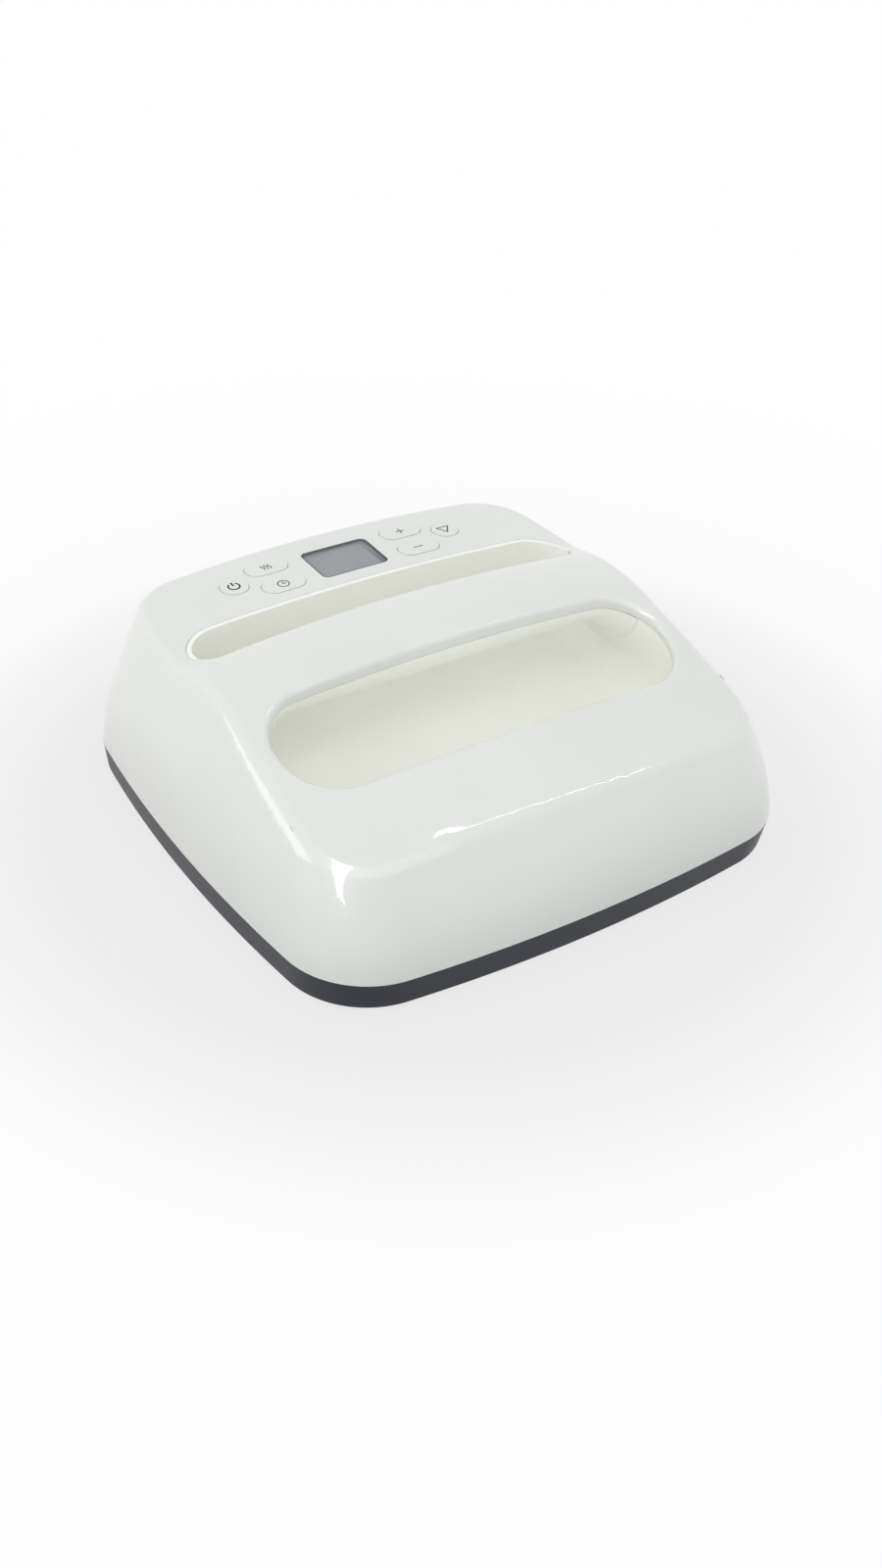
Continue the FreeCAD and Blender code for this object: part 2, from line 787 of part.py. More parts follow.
def base_skirt():
    """Dark band round the foot: outer wall, floor, upstand round the plate and plate ledge."""
    outer = Part.makeLoft([housing_outline(skirt_bottom, skirt_inset),
                           housing_outline(skirt_top)], True, True)
    foot = max(outer.Faces, key=lambda face: -face.CenterOfMass.z)
    outer = outer.makeFillet(skirt_edge_round, foot.Edges)
    hollow = Part.makeLoft([housing_outline(skirt_bottom + skirt_wall, skirt_inset + skirt_wall),
                            housing_outline(skirt_top, skirt_wall)], True, True)
    upstand = slab(0, ledge_top, 2 * upstand_outer, plate_corner + skirt_wall + skirt_plate_gap)
    skirt = outer.cut(hollow.cut(upstand)).cut(box((-OVER, -OVER, ledge_top), (OVER, OVER, skirt_top))
                                               .common(hollow))
    opening = slab(0, gasket_top, 2 * upstand_inner, plate_corner + skirt_plate_gap)
    opening = opening.fuse(slab(0, OVER, 2 * ledge_inner, plate_corner))
    skirt = skirt.cut(opening)
    tongue_out = shell_inset + tongue_gap
    level = skirt_top - tongue_height
    root = prism(housing_outline(skirt_top, skirt_wall / 2), tongue_height)
    root = root.cut(prism(housing_outline(skirt_top, tongue_out + tongue_thickness), tongue_height))
    root.translate(Vector(0, 0, level - skirt_top))
    tongue = prism(housing_outline(skirt_top, tongue_out), 2 * tongue_height)
    tongue = tongue.cut(prism(housing_outline(skirt_top, tongue_out + tongue_thickness),
                              2 * tongue_height))
    tongue.translate(Vector(0, 0, level - skirt_top))
    posts = [cylinder(shield_post_radius, shield_bottom - gasket_top, (x, y, gasket_top))
             for x, y in both_ways(shield_post_across, shield_post_along)]
    posts += [cylinder(case_boss_radius, shield_bottom - skirt_bottom - skirt_wall / 2,
                       (x, y, skirt_bottom + skirt_wall / 2)) for x, y in case_screw_places()]
    skirt = skirt.fuse([root, tongue] + posts)
    holes = [screw_hole(case_screw_radius, OVER, (x, y, 0), up=True) for x, y in case_screw_places()]
    holes += [cylinder(2 * case_screw_radius + seam_gap, ledge_top, (x, y, 0))
              for x, y in case_screw_places()]
    holes += [screw_hole(case_screw_radius, shield_bottom - ledge_top, (x, y, shield_bottom))
              for x, y in both_ways(shield_post_across, shield_post_along)]
    holes += [screw_hole(plate_screw_radius, ledge_thickness + 1, (x, y, ledge_top + 0.5))
              for x, y in both_ways(plate_screw_across, plate_screw_along)]
    return skirt.cut(holes)


# ---------------------------------------------------------------- plate and layers
def element_path(z):
    """Corners of the element's runs, from one rear end to the other."""
    points = []
    for i in range(element_runs):
        x = (i - (element_runs - 1) / 2) * element_pitch
        ends = [(x, element_reach, z), (x, -element_reach, z)]
        points += ends if i % 2 == 0 else ends[::-1]
    return points


def heating_element():
    """Tubular element laid in the plate, both ends turned up at the rear."""
    path = element_path(element_z)
    first, last = path[0], path[-1]
    path = [(first[0], first[1], element_end_z)] + path + [(last[0], last[1], element_end_z)]
    turns = [element_pitch / 2] * (2 * element_runs - 2)
    return tube(path, element_diameter / 2, [element_end_bend] + turns + [element_end_bend])


def element_groove():
    """U groove that the element lies in, open to the plate's back."""
    radius = element_diameter / 2 + element_clearance
    path = element_path(element_z)
    x, y, z = path[0]
    extra = radius + 2.0
    path[0] = (x, y + extra, z)
    path[-1] = (path[-1][0], y + extra, z)
    top = plate_thickness + 1
    across = [Vector(x - radius, y + extra, top), Vector(x - radius, y + extra, z),
              Vector(x, y + extra, z - radius), Vector(x + radius, y + extra, z),
              Vector(x + radius, y + extra, top)]
    profile = Part.Wire([
        Part.LineSegment(across[0], across[1]).toShape(),
        Part.Arc(across[1], across[2], across[3]).toShape(),
        Part.LineSegment(across[3], across[4]).toShape(),
        Part.LineSegment(across[4], across[0]).toShape(),
    ])
    turns = [element_pitch / 2] * (2 * element_runs - 2)
    return path_wire(path, turns).makePipeShell([profile], True, False)


def heat_plate():
    """Aluminium plate with its working face down, grooved for the element."""
    plate = slab(0, plate_thickness, plate_side, plate_corner)
    low_edges = [edge for edge in plate.Edges if edge.BoundBox.ZMax < 0.01]
    plate = plate.makeFillet(plate_edge_break, low_edges)
    holes = [screw_hole(plate_screw_radius, plate_screw_depth + 0.5, (x, y, plate_thickness))
             for x, y in both_ways(plate_screw_across, plate_screw_along)]
    return plate.cut(element_groove()).cut(holes)


def plate_gasket():
    """Silicone frame between plate and skirt."""
    ring = square_ring(plate_thickness, gasket_top, plate_side / 2,
                       plate_side / 2 - gasket_width, plate_corner)
    holes = [screw_hole(plate_screw_radius, gasket_thickness + 1, (x, y, gasket_top + 0.5))
             for x, y in both_ways(plate_screw_across, plate_screw_along)]
    return ring.cut(holes)


def plate_screws():
    """Eight screws through the skirt's ledge into the plate."""
    bite = ledge_thickness + gasket_thickness + plate_screw_depth
    return Part.makeCompound([pan_screw(plate_screw_radius, bite, (x, y, ledge_top))
                              for x, y in both_ways(plate_screw_across, plate_screw_along)])


def insulation_pad():
    """Fibre pad on the plate's back, pocketed round what stands there."""
    pad = slab(plate_thickness, shield_bottom, pad_side, pad_corner)
    pockets = []
    end_x = (element_runs - 1) / 2 * element_pitch
    side = element_diameter / 2 + pocket_gap
    for sign in (-1, 1):
        pockets.append(box((sign * end_x - side, element_reach - element_end_bend - side, 0),
                           (sign * end_x + side, OVER, OVER)))
    x, y = cutoff_place
    pockets.append(cylinder(cutoff_radius + pocket_gap, OVER, (x, y, 0)))
    x, y = sensor_place
    half_x, half_y = sensor_size[0] / 2 + pocket_gap, sensor_size[1] / 2 + pocket_gap
    pockets.append(box((x - half_x, y - half_y, 0), (x + half_x, y + half_y, OVER)))
    head_room = 1.2 * case_screw_radius + pocket_gap
    for x, y in four_ways(*well_foot_place):
        pockets.append(cylinder(2 * case_screw_radius + pocket_gap, head_room,
                                (x, y, shield_bottom - head_room)))
    return pad.cut(pockets)


def lead_holes():
    """Places and radii of the holes where leads pass the shield."""
    end_x = (element_runs - 1) / 2 * element_pitch
    grommet = lead_radius + 2 * pocket_gap
    return [(-end_x, element_reach, grommet), (end_x, element_reach, grommet),
            (*cutoff_place, cutoff_radius), (*sensor_place, 3 * sensor_lead_radius + pocket_gap)]


def heat_shield():
    """Sheet-metal shield over the pad; it carries the well and the power board."""
    sheet = slab(shield_bottom, shield_top, shield_side, shield_corner)
    holes = [cylinder(radius, 2 * shield_thickness, (x, y, shield_bottom - shield_thickness / 2))
             for x, y, radius in lead_holes()]
    screws = both_ways(shield_post_across, shield_post_along) + four_ways(*well_foot_place)
    holes += [screw_hole(case_screw_radius, 2 * shield_thickness, (x, y, shield_top + 0.5))
              for x, y in screws]
    return sheet.cut(holes)


def shield_screws():
    """Eight screws that hold the shield on the skirt's posts."""
    bite = shield_thickness + shield_bottom - ledge_top - 1
    return Part.makeCompound([pan_screw(case_screw_radius, bite, (x, y, shield_top))
                              for x, y in both_ways(shield_post_across, shield_post_along)])


def well_screws():
    """Four screws up through the shield into the well's feet."""
    bite = shield_thickness + case_screw_bite - 1
    return Part.makeCompound([pan_screw(case_screw_radius, bite, (x, y, shield_bottom), up=True)
                              for x, y in four_ways(*well_foot_place)])


def case_screws():
    """Eight screws up through the skirt into the shell's towers."""
    bite = shield_bottom - ledge_top + case_screw_bite
    return Part.makeCompound([pan_screw(case_screw_radius, bite, (x, y, ledge_top), up=True)
                              for x, y in case_screw_places()])


def thermal_cutoff():
    """One-shot safety cutoff on the plate's back."""
    x, y = cutoff_place
    body = cylinder(cutoff_radius, cutoff_height, (x, y, plate_thickness))
    neck = cylinder(cutoff_radius / 2, cutoff_neck, (x, y, plate_thickness + cutoff_height))
    return union([body, neck])


def temperature_sensor():
    """Sensor block that measures the plate."""
    x, y = sensor_place
    length, width, height = sensor_size
    block = box((x - length / 2, y - width / 2, plate_thickness),
                (x + length / 2, y + width / 2, plate_thickness + height))
    return block.makeFillet(1.0, [edge for edge in block.Edges
                                  if edge.BoundBox.ZMin > plate_thickness + height - 0.01])


# ---------------------------------------------------------------- power board
def on_board(place):
    """A place on the power board, given from the board's middle."""
    return place[0], power_board_y + place[1]


def standoff_places():
    """Places of the power board's standoffs."""
    return [on_board(place) for place in four_ways(power_board_length / 2 - standoff_inset,
                                                   power_board_width / 2 - standoff_inset)]


def power_board():
    """Circuit board for the mains side."""
    half_x, half_y = power_board_length / 2, power_board_width / 2
    wire = rounded_rectangle(board_bottom, (-half_x, power_board_y - half_y),
                             (half_x, power_board_y + half_y), (2.0, 2.0))
    board = prism(wire, board_thickness)
    return board.cut([screw_hole(board_screw_radius, 2 * board_thickness, (x, y, board_top + 0.5))
                      for x, y in standoff_places()])


def board_standoffs():
    """Four round standoffs between shield and power board."""
    posts = []
    for x, y in standoff_places():
        post = cylinder(standoff_radius, power_board_lift, (x, y, shield_top))
        posts.append(post.cut(screw_hole(board_screw_radius, board_screw_bite, (x, y, board_bottom))))
    return Part.makeCompound(posts)


def power_board_screws():
    """Four screws that hold the power board."""
    bite = board_thickness + board_screw_bite - 1
    return Part.makeCompound([pan_screw(board_screw_radius, bite, (x, y, board_top))
                              for x, y in standoff_places()])


def component(place, size, edge_round=0.8):
    """Moulded block standing on the power board."""
    x, y = on_board(place)
    length, width, height = size
    block = box((x - length / 2, y - width / 2, board_top),
                (x + length / 2, y + width / 2, board_top + height))
    return block.makeFillet(edge_round, [edge for edge in block.Edges
                                         if edge.BoundBox.ZMax > board_top + 0.01])


def power_relay():
    """Relay that switches the element."""
    return component(relay_place, relay_size)


def mains_capacitor():
    """Suppression capacitor."""
    return component(capacitor_place, capacitor_size, 1.5)


def triac_heatsink():
    """Finned heat sink of the switching element."""
    x, y = on_board(heatsink_place)
    length, width, height = heatsink_size
    web = 3.0
    sink = box((x - length / 2, y - width / 2, board_top),
               (x + length / 2, y - width / 2 + web, board_top + height))
    fin = web / 2
    pitch = (length - fin) / (heatsink_fins - 1)
    fins = []
    for i in range(heatsink_fins):
        left = x - length / 2 + i * pitch
        fins.append(box((left, y - width / 2, board_top),
                        (left + fin, y + width / 2, board_top + height)))
    return union([sink] + fins)


def terminal_block():
    """Screw terminals for the mains leads and the element's leads."""
    block = component(terminal_place, terminal_size, 0.6)
    x, y = on_board(terminal_place)
    length, width, height = terminal_size
    top = board_top + height
    holes = [cylinder(2.0, 3.0, (x + shift * length / 3, y - width / 5, top - 3.0))
             for shift in (-1, 0, 1)]
    return block.cut(holes)


def mains_fuse():
    """Glass fuse in two clips."""
    x, y = on_board(fuse_place)
    axis_z = board_top + fuse_radius + 1.5
    glass = cylinder(fuse_radius, fuse_length, (x - fuse_length / 2, y, axis_z), Vector(1, 0, 0))
    clips = []
    for sign in (-1, 1):
        near, far = sorted((sign * fuse_length / 2, sign * (fuse_length / 2 - 5.0)))
        clips.append(box((x + near, y - fuse_radius - 0.8, board_top),
                         (x + far, y + fuse_radius + 0.8, axis_z + 1.0)))
    return union([glass] + clips)


# ---------------------------------------------------------------- panel pieces
def key(name):
    """Key cap: top flush with the panel, flange behind it and stem down to its switch."""
    form, x, y = KEYS[name]
    half = (round_key_diameter if form == "round" else pill_key_length) / 2
    flange_top = -housing_wall - key_play - panel_sag(abs(x) + half)
    flange_low = flange_top - key_flange_thickness
    cap = on_panel(key_prism(form, 0, flange_low, housing_wall), x, y)
    cap = cap.common(below_crown(-key_proud))
    flange = key_prism(form, key_gap + key_flange_width, flange_low, flange_top)
    stem_low = plunger_top()
    stem = cylinder(key_stem_radius, flange_low - stem_low + 0.5, (0, 0, stem_low))
    return cap.fuse([on_panel(flange, x, y), on_panel(stem, x, y)]).removeSplitter()


def plunger_top():
    """Height of a switch plunger's top in the panel frame."""
    return -control_board_depth + switch_height + plunger_rise


def plunger(name):
    """Plunger of the switch under a key."""
    x, y = KEYS[name][1:]
    low = -control_board_depth + switch_height - plunger_seat
    return on_panel(cylinder(plunger_radius, plunger_top() - low, (0, 0, low)), x, y)


def switch_bodies():
    """Six push switches on the control board, bored for their plungers."""
    bodies = []
    half = switch_side / 2
    bore_depth = plunger_seat + key_travel + plunger_gap
    top = -control_board_depth + switch_height
    for form, x, y in KEYS.values():
        body = box((-half, -half, -control_board_depth), (half, half, top))
        body = body.cut(cylinder(plunger_radius + plunger_gap, bore_depth + 1, (0, 0, top - bore_depth)))
        bodies.append(on_panel(body, x, y))
    return Part.makeCompound(bodies)


def control_board():
    """Circuit board under the panel."""
    half_x, half_y = control_board_length / 2, control_board_width / 2
    wire = rounded_rectangle(-control_board_depth - board_thickness, (-half_x, -half_y),
                             (half_x, half_y), (2.0, 2.0))
    board = prism(wire, board_thickness)
    board = board.cut([screw_hole(board_screw_radius, 2 * board_thickness,
                                  (x, y, -control_board_depth + 0.5)) for x, y in control_posts()])
    return on_panel(board, 0, control_board_y)


def control_board_screws():
    """Four screws up into the shell's posts."""
    screws = []
    bite = board_thickness + board_screw_bite - 1
    for x, y in control_posts():
        screw = pan_screw(board_screw_radius, bite, (x, y, -control_board_depth - board_thickness),
                          up=True)
        screws.append(on_panel(screw, 0, control_board_y))
    return Part.makeCompound(screws)


def buzzer():
    """Round buzzer under the control board."""
    low = -control_board_depth - board_thickness - buzzer_height
    can = cylinder(buzzer_radius, buzzer_height, (0, 0, low))
    return on_panel(can.cut(cylinder(1.0, 2.0, (0, 0, low))), -pill_key_x, control_board_y)


def display_window():
    """Clear window in the bezel, laid on the display."""
    low = -window_recess - window_thickness
    return on_panel(window_prism(-window_gap - bezel_wall - display_gap, low, -window_recess),
                    0, window_y)


def display_bezel():
    """Dark frame on the control board; its collar comes up through the panel round the window."""
    flange = window_prism(bezel_flange, -control_board_depth, -housing_wall - window_gap)
    collar = window_prism(-window_gap, -control_board_depth, -bezel_drop)
    opening = window_prism(-window_gap - bezel_wall, -OVER, OVER)
    return on_panel(union([flange, collar]).cut(opening), 0, window_y)


def display_module():
    """Segment display on the control board."""
    top = -window_recess - window_thickness
    return on_panel(window_prism(-window_gap - bezel_wall - display_gap, -control_board_depth, top),
                    0, window_y)


# ---------------------------------------------------------------- cord entry and wiring
def gland_point(out):
    """Point on the cord entry's axis, out from the gland's seat."""
    return cord_entry_x, cord_face_y + out, cord_entry_z


def gland_block(start, end, side, corner):
    """Square block with rounded corners along the cord entry's axis, from start to end."""
    block = slab(start, end, side, corner)
    block.rotate(Vector(0, 0, 0), Vector(1, 0, 0), -90)
    return block.translated(Vector(*gland_point(0)))


def cord_gland():
    """Strain-relief bush bored for the mains cord; its square neck keeps it from turning."""
    outward = Vector(0, 1, 0)
    flange = gland_block(0, gland_flange_thickness, gland_flange_side, gland_flange_corner)
    rim = [edge for edge in flange.Edges
           if edge.BoundBox.YMin > cord_face_y + gland_flange_thickness - 0.01]
    flange = flange.makeFillet(gland_flange_round, rim)
    neck = gland_block(gland_nut_gap - gland_pad_thickness, 0, gland_neck_side, gland_neck_corner)
    barrel = cylinder(gland_barrel_radius, gland_reach, gland_point(-gland_reach), outward)
    bore = cylinder(cord_bore_radius, OVER, gland_point(-OVER / 2), outward)
    return union([flange, neck, barrel]).cut(bore)


def gland_nut():
    """Hexagon nut that clamps the gland from inside."""
    corner = gland_flange_side / 2 / math.cos(math.radians(30))
    inner_face = -gland_pad_thickness - gland_nut_thickness
    x, y, z = gland_point(inner_face)
    points = [Vector(x + corner * math.cos(math.radians(60 * i)), y,
                     z + corner * math.sin(math.radians(60 * i))) for i in range(7)]
    nut = Part.Face(Part.makePolygon(points)).extrude(Vector(0, gland_nut_thickness, 0))
    return nut.cut(cylinder(gland_barrel_radius + gland_gap, OVER, gland_point(-OVER / 2),
                            Vector(0, 1, 0)))


def heater_leads():
    """Leads from the element's ends and from the cutoff to the terminals."""
    end_x = (element_runs - 1) / 2 * element_pitch
    block_x, block_y = on_board(terminal_place)
    entry_y = block_y + lead_entry_shift
    top = board_top + terminal_size[2]
    third = terminal_size[0] / 3
    crossing = top + lead_bend_rise
    above = crossing + lead_spacing
    left = [(-end_x, element_reach, element_end_z), (-end_x, element_reach, crossing),
            (block_x - third, entry_y, crossing), (block_x - third, entry_y, top)]
    right = [(end_x, element_reach, element_end_z), (end_x, element_reach, above),
             (block_x + third, entry_y, above), (block_x + third, entry_y, top)]
    x, y = cutoff_place
    under = (shield_top + well_floor - well_wall) / 2
    rise_y = (well_rear + well_wall + power_board_y - power_board_width / 2) / 2
    cutoff = [(x, y, plate_thickness + cutoff_height + cutoff_neck), (x, y, under),
              (block_x, y + cutoff_lead_turn, under), (block_x, rise_y, under),
              (block_x, rise_y, crossing), (block_x, entry_y, crossing), (block_x, entry_y, top)]
    return Part.makeCompound([tube(route, lead_radius, [lead_bend] * (len(route) - 2))
                              for route in (left, right, cutoff)])


def sensor_leads():
    """Thin pair from the sensor to the power board."""
    x, y = sensor_place
    low = plate_thickness + sensor_size[2]
    across = shield_top + sensor_lead_rise
    above = board_top + sensor_lead_entry
    end_y = power_board_y - ribbon_shift
    pair = []
    for start_x in (x - 1.5 * sensor_lead_radius, x + 1.5 * sensor_lead_radius):
        end_x = start_x + sensor_lead_shift
        route = [(start_x, y, low), (start_x, y, across), (end_x, y, across), (end_x, y, above),
                 (end_x, end_y, above), (end_x, end_y, board_top)]
        pair.append(tube(route, sensor_lead_radius, [sensor_lead_rise / 2] * (len(route) - 2)))
    return Part.makeCompound(pair)


def display_ribbon():
    """Flat cable from the control board down to the power board."""
    low = -control_board_depth - board_thickness
    start = on_panel(Part.Vertex(ribbon_x, ribbon_shift, low - ribbon_thickness / 20), 0,
                     control_board_y).Point
    end_y = power_board_y + ribbon_shift
    route = [(start.x, start.y, start.z), (start.x, start.y, start.z - ribbon_drop),
             (start.x, end_y, board_top + ribbon_rise), (start.x, end_y, board_top)]
    half_x, half_y = ribbon_width / 2, ribbon_thickness / 2
    corners = [(-half_x, -half_y), (half_x, -half_y), (half_x, half_y), (-half_x, half_y)]
    points = [Vector(start.x + dx, start.y + dy, start.z) for dx, dy in corners]
    return path_wire(route).makePipeShell([Part.makePolygon(points + points[:1])], True, False)


# ---------------------------------------------------------------- export
def build_pieces():
    """Every piece of the press by name."""
    makers = [
        top_shell, finger_well, grip_underside, base_skirt, heat_plate, heating_element,
        plate_gasket, plate_screws, insulation_pad, heat_shield, shield_screws, well_screws,
        case_screws, thermal_cutoff, temperature_sensor, power_board, board_standoffs,
        power_board_screws, power_relay, mains_capacitor, triac_heatsink, terminal_block,
        mains_fuse, switch_bodies, control_board, control_board_screws, buzzer, display_window,
        display_bezel, display_module, cord_gland, gland_nut, heater_leads, sensor_leads,
        display_ribbon,
    ]
    pieces = {maker.__name__: maker() for maker in makers}
    for name in KEYS:
        pieces[name] = key(name)
        pieces[name.replace("_key", "_plunger")] = plunger(name)
    return pieces


def main():
    """Build every piece and write it to parts/."""
    os.makedirs("parts", exist_ok=True)
    for name, shape in build_pieces().items():
        if not shape.isValid():
            raise RuntimeError("piece is not valid: " + name)
        shape.exportStep(os.path.join("parts", name + ".step"))
        print(name, len(shape.Solids), round(shape.Volume, 1))


if __name__ == "__main__":
    main()
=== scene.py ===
"""Finishes, printed marks and studio for a square handheld heat press.

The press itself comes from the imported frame. This file gives every piece its finish, prints
the key marks, and sets the studio round it. Lengths are in metres, in the frame's own axes:
+Z up, +X to the right, +Y to the back, where the keys are.
"""
import json
import logging
import math
from dataclasses import dataclass
from enum import Enum
from typing import Callable, Sequence

import bmesh
import bpy
from mathutils import Matrix, Vector
from mathutils.bvhtree import BVHTree


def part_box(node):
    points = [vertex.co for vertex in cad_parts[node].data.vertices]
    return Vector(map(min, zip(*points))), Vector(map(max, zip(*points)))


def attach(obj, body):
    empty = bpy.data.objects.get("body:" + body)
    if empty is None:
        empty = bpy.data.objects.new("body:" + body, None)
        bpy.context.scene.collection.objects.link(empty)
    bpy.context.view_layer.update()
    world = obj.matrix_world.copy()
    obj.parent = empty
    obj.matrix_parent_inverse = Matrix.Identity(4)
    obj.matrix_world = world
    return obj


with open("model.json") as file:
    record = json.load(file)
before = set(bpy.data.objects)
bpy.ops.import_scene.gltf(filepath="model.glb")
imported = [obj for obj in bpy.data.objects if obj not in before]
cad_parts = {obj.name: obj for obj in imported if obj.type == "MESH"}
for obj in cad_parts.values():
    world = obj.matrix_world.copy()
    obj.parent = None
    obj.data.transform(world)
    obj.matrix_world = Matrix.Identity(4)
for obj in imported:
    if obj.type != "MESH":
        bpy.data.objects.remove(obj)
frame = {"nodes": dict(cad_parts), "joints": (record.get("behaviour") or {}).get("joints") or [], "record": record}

MM = 0.001
FULL_TURN = 2 * math.pi
LOG = logging.getLogger("press")

Colour = tuple[float, float, float, float]
WHITE: Colour = (1.0, 1.0, 1.0, 1.0)

# The display curve: a straight foot, then a power.
DISPLAY_STEPS = 255.0
FOOT_END = 0.04045
FOOT_SLOPE = 12.92
CURVE_OFFSET = 0.055
CURVE_POWER = 2.4


def linear(value: float) -> float:
    """Turn a display value into a linear one.

    Args:
        value: display value of 0 to 255.

    Returns:
        The linear value of 0 to 1.
    """
    share = value / DISPLAY_STEPS
    if share <= FOOT_END:
        return share / FOOT_SLOPE
    return ((share + CURVE_OFFSET) / (1 + CURVE_OFFSET)) ** CURVE_POWER


def tint(red: float, green: float, blue: float) -> Colour:
    """Linear colour with full alpha from display values of 0 to 255."""
    return linear(red), linear(green), linear(blue), 1.0


# ---------------------------------------------------------------- node trees
class Bench:
    """A material's node tree, with short calls to add and join nodes."""

    def __init__(self, name: str) -> None:
        """Start an empty material.

        Args:
            name: the material's name.
        """
        self.material = bpy.data.materials.new(name)
        self.material.use_nodes = True
        self.tree = self.material.node_tree
        self.tree.nodes.clear()
        self.output = self.add("ShaderNodeOutputMaterial")

    def add(self, kind: str, **values: object) -> bpy.types.Node:
        """Add a node.

        Args:
            kind: the node's type name.
            values: socket names with underscores for spaces, or node settings in lower case.

        Returns:
            The new node.
        """
        node = self.tree.nodes.new(kind)
        for key, value in values.items():
            socket = node.inputs.get(key.replace("_", " ")) if key[0].isupper() else None
            if socket is None:
                setattr(node, key, value)
            else:
                socket.default_value = value
        return node

    def join(self, source: bpy.types.NodeSocket, target: bpy.types.NodeSocket) -> None:
        """Link two sockets."""
        self.tree.links.new(source, target)

    def noise(self, scale: float, detail: float = 3.0, roughness: float = 0.5,
              stretch: Sequence[float] = (1.0, 1.0, 1.0)) -> bpy.types.NodeSocket:
        """Noise over the piece's own coordinates.

        Args:
            scale: features per metre.
            detail: octaves of the noise.
            roughness: weight of the finer octaves.
            stretch: how much finer the pattern is along each axis.

        Returns:
            The noise's value socket.
        """
        place = self.add("ShaderNodeTexCoord")
        mapping = self.add("ShaderNodeMapping", Scale=tuple(stretch))
        noise = self.add("ShaderNodeTexNoise", Scale=scale, Detail=detail, Roughness=roughness)
        self.join(place.outputs["Object"], mapping.inputs["Vector"])
        self.join(mapping.outputs["Vector"], noise.inputs["Vector"])
        return noise.outputs["Fac"]

    def blend(self, factor: bpy.types.NodeSocket, first: Colour, second: Colour,
              low: float = 0.35, high: float = 0.65) -> bpy.types.NodeSocket:
        """Mix two colours by a factor.

        Args:
            factor: socket that gives the share of the second colour.
            first: colour where the factor is at low or under.
            second: colour where the factor is at high or over.
            low: start of the change.
            high: end of the change.

        Returns:
            The colour socket.
        """
        ramp = self.add("ShaderNodeValToRGB")
        ramp.color_ramp.elements[0].position = low
        ramp.color_ramp.elements[0].color = first
        ramp.color_ramp.elements[1].position = high
        ramp.color_ramp.elements[1].color = second
        self.join(factor, ramp.inputs["Fac"])
        return ramp.outputs["Color"]

    def spread(self, factor: bpy.types.NodeSocket, low: float,
               high: float) -> bpy.types.NodeSocket:
        """Map a factor of 0 to 1 onto a range.

        Args:
            factor: socket to map.
            low: result at 0.
            high: result at 1.

        Returns:
            The mapped value's socket.
        """
        mapped = self.add("ShaderNodeMapRange", To_Min=low, To_Max=high)
        self.join(factor, mapped.inputs["Value"])
        return mapped.outputs["Result"]

    def vary(self, factor: bpy.types.NodeSocket, middle: float,
             share: float) -> bpy.types.NodeSocket:
        """Let a factor of 0 to 1 move a value either way by a share of itself."""
        return self.spread(factor, middle * (1 - share), middle * (1 + share))

    def bump(self, height: bpy.types.NodeSocket, strength: float,
             distance: float) -> bpy.types.NodeSocket:
        """Bump from a height.

        Args:
            height: socket of the height.
            strength: share of the bump.
            distance: depth of the relief in metres.

        Returns:
            The normal socket.
        """
        relief = self.add("ShaderNodeBump", Strength=strength, Distance=distance)
        self.join(height, relief.inputs["Height"])
        return relief.outputs["Normal"]


# ---------------------------------------------------------------- finishes
class Finish:
    """A surface finish. Each kind wires a shader of its own."""

    def wire(self, bench: Bench) -> bpy.types.Node:
        """Wire the finish's nodes and give back the shader."""
        raise NotImplementedError

    def make(self, name: str) -> bpy.types.Material:
        """Build the finish's material.

        Args:
            name: the material's name.

        Returns:
            The material.
        """
        bench = Bench(name)
        shader = self.wire(bench)
        bench.join(shader.outputs["BSDF"], bench.output.inputs["Surface"])
        return bench.material


@dataclass(frozen=True)
class MouldedPlastic(Finish):
    """Injection-moulded plastic with a faint flow mottle and a fine surface grain."""

    colour: Colour
    shade: Colour
    roughness: float = 0.3
    unevenness: float = 0.15
    coat: float = 0.0
    coat_roughness: float = 0.08
    specular: float = 0.5
    mottle_scale: float = 14.0
    grain_scale: float = 900.0
    grain_depth: float = 0.02 * MM
    grain_strength: float = 0.12
    glow: float = 0.0
    glow_depth: float = 4.0 * MM

    def wire(self, bench: Bench) -> bpy.types.Node:
        """Wire the plastic's nodes.

        Args:
            bench: the material to add to.

        Returns:
            The shader.
        """
        shader = bench.add("ShaderNodeBsdfPrincipled", Coat_Weight=self.coat,
                           Coat_Roughness=self.coat_roughness, Specular_IOR_Level=self.specular,
                           Subsurface_Weight=self.glow, Subsurface_Scale=self.glow_depth)
        mottle = bench.noise(self.mottle_scale, detail=4.0, roughness=0.55)
        bench.join(bench.blend(mottle, self.colour, self.shade), shader.inputs["Base Color"])
        grain = bench.noise(self.grain_scale, detail=2.0)
        bench.join(bench.vary(grain, self.roughness, self.unevenness),
                   shader.inputs["Roughness"])
        bench.join(bench.bump(grain, self.grain_strength, self.grain_depth),
                   shader.inputs["Normal"])
        return shader


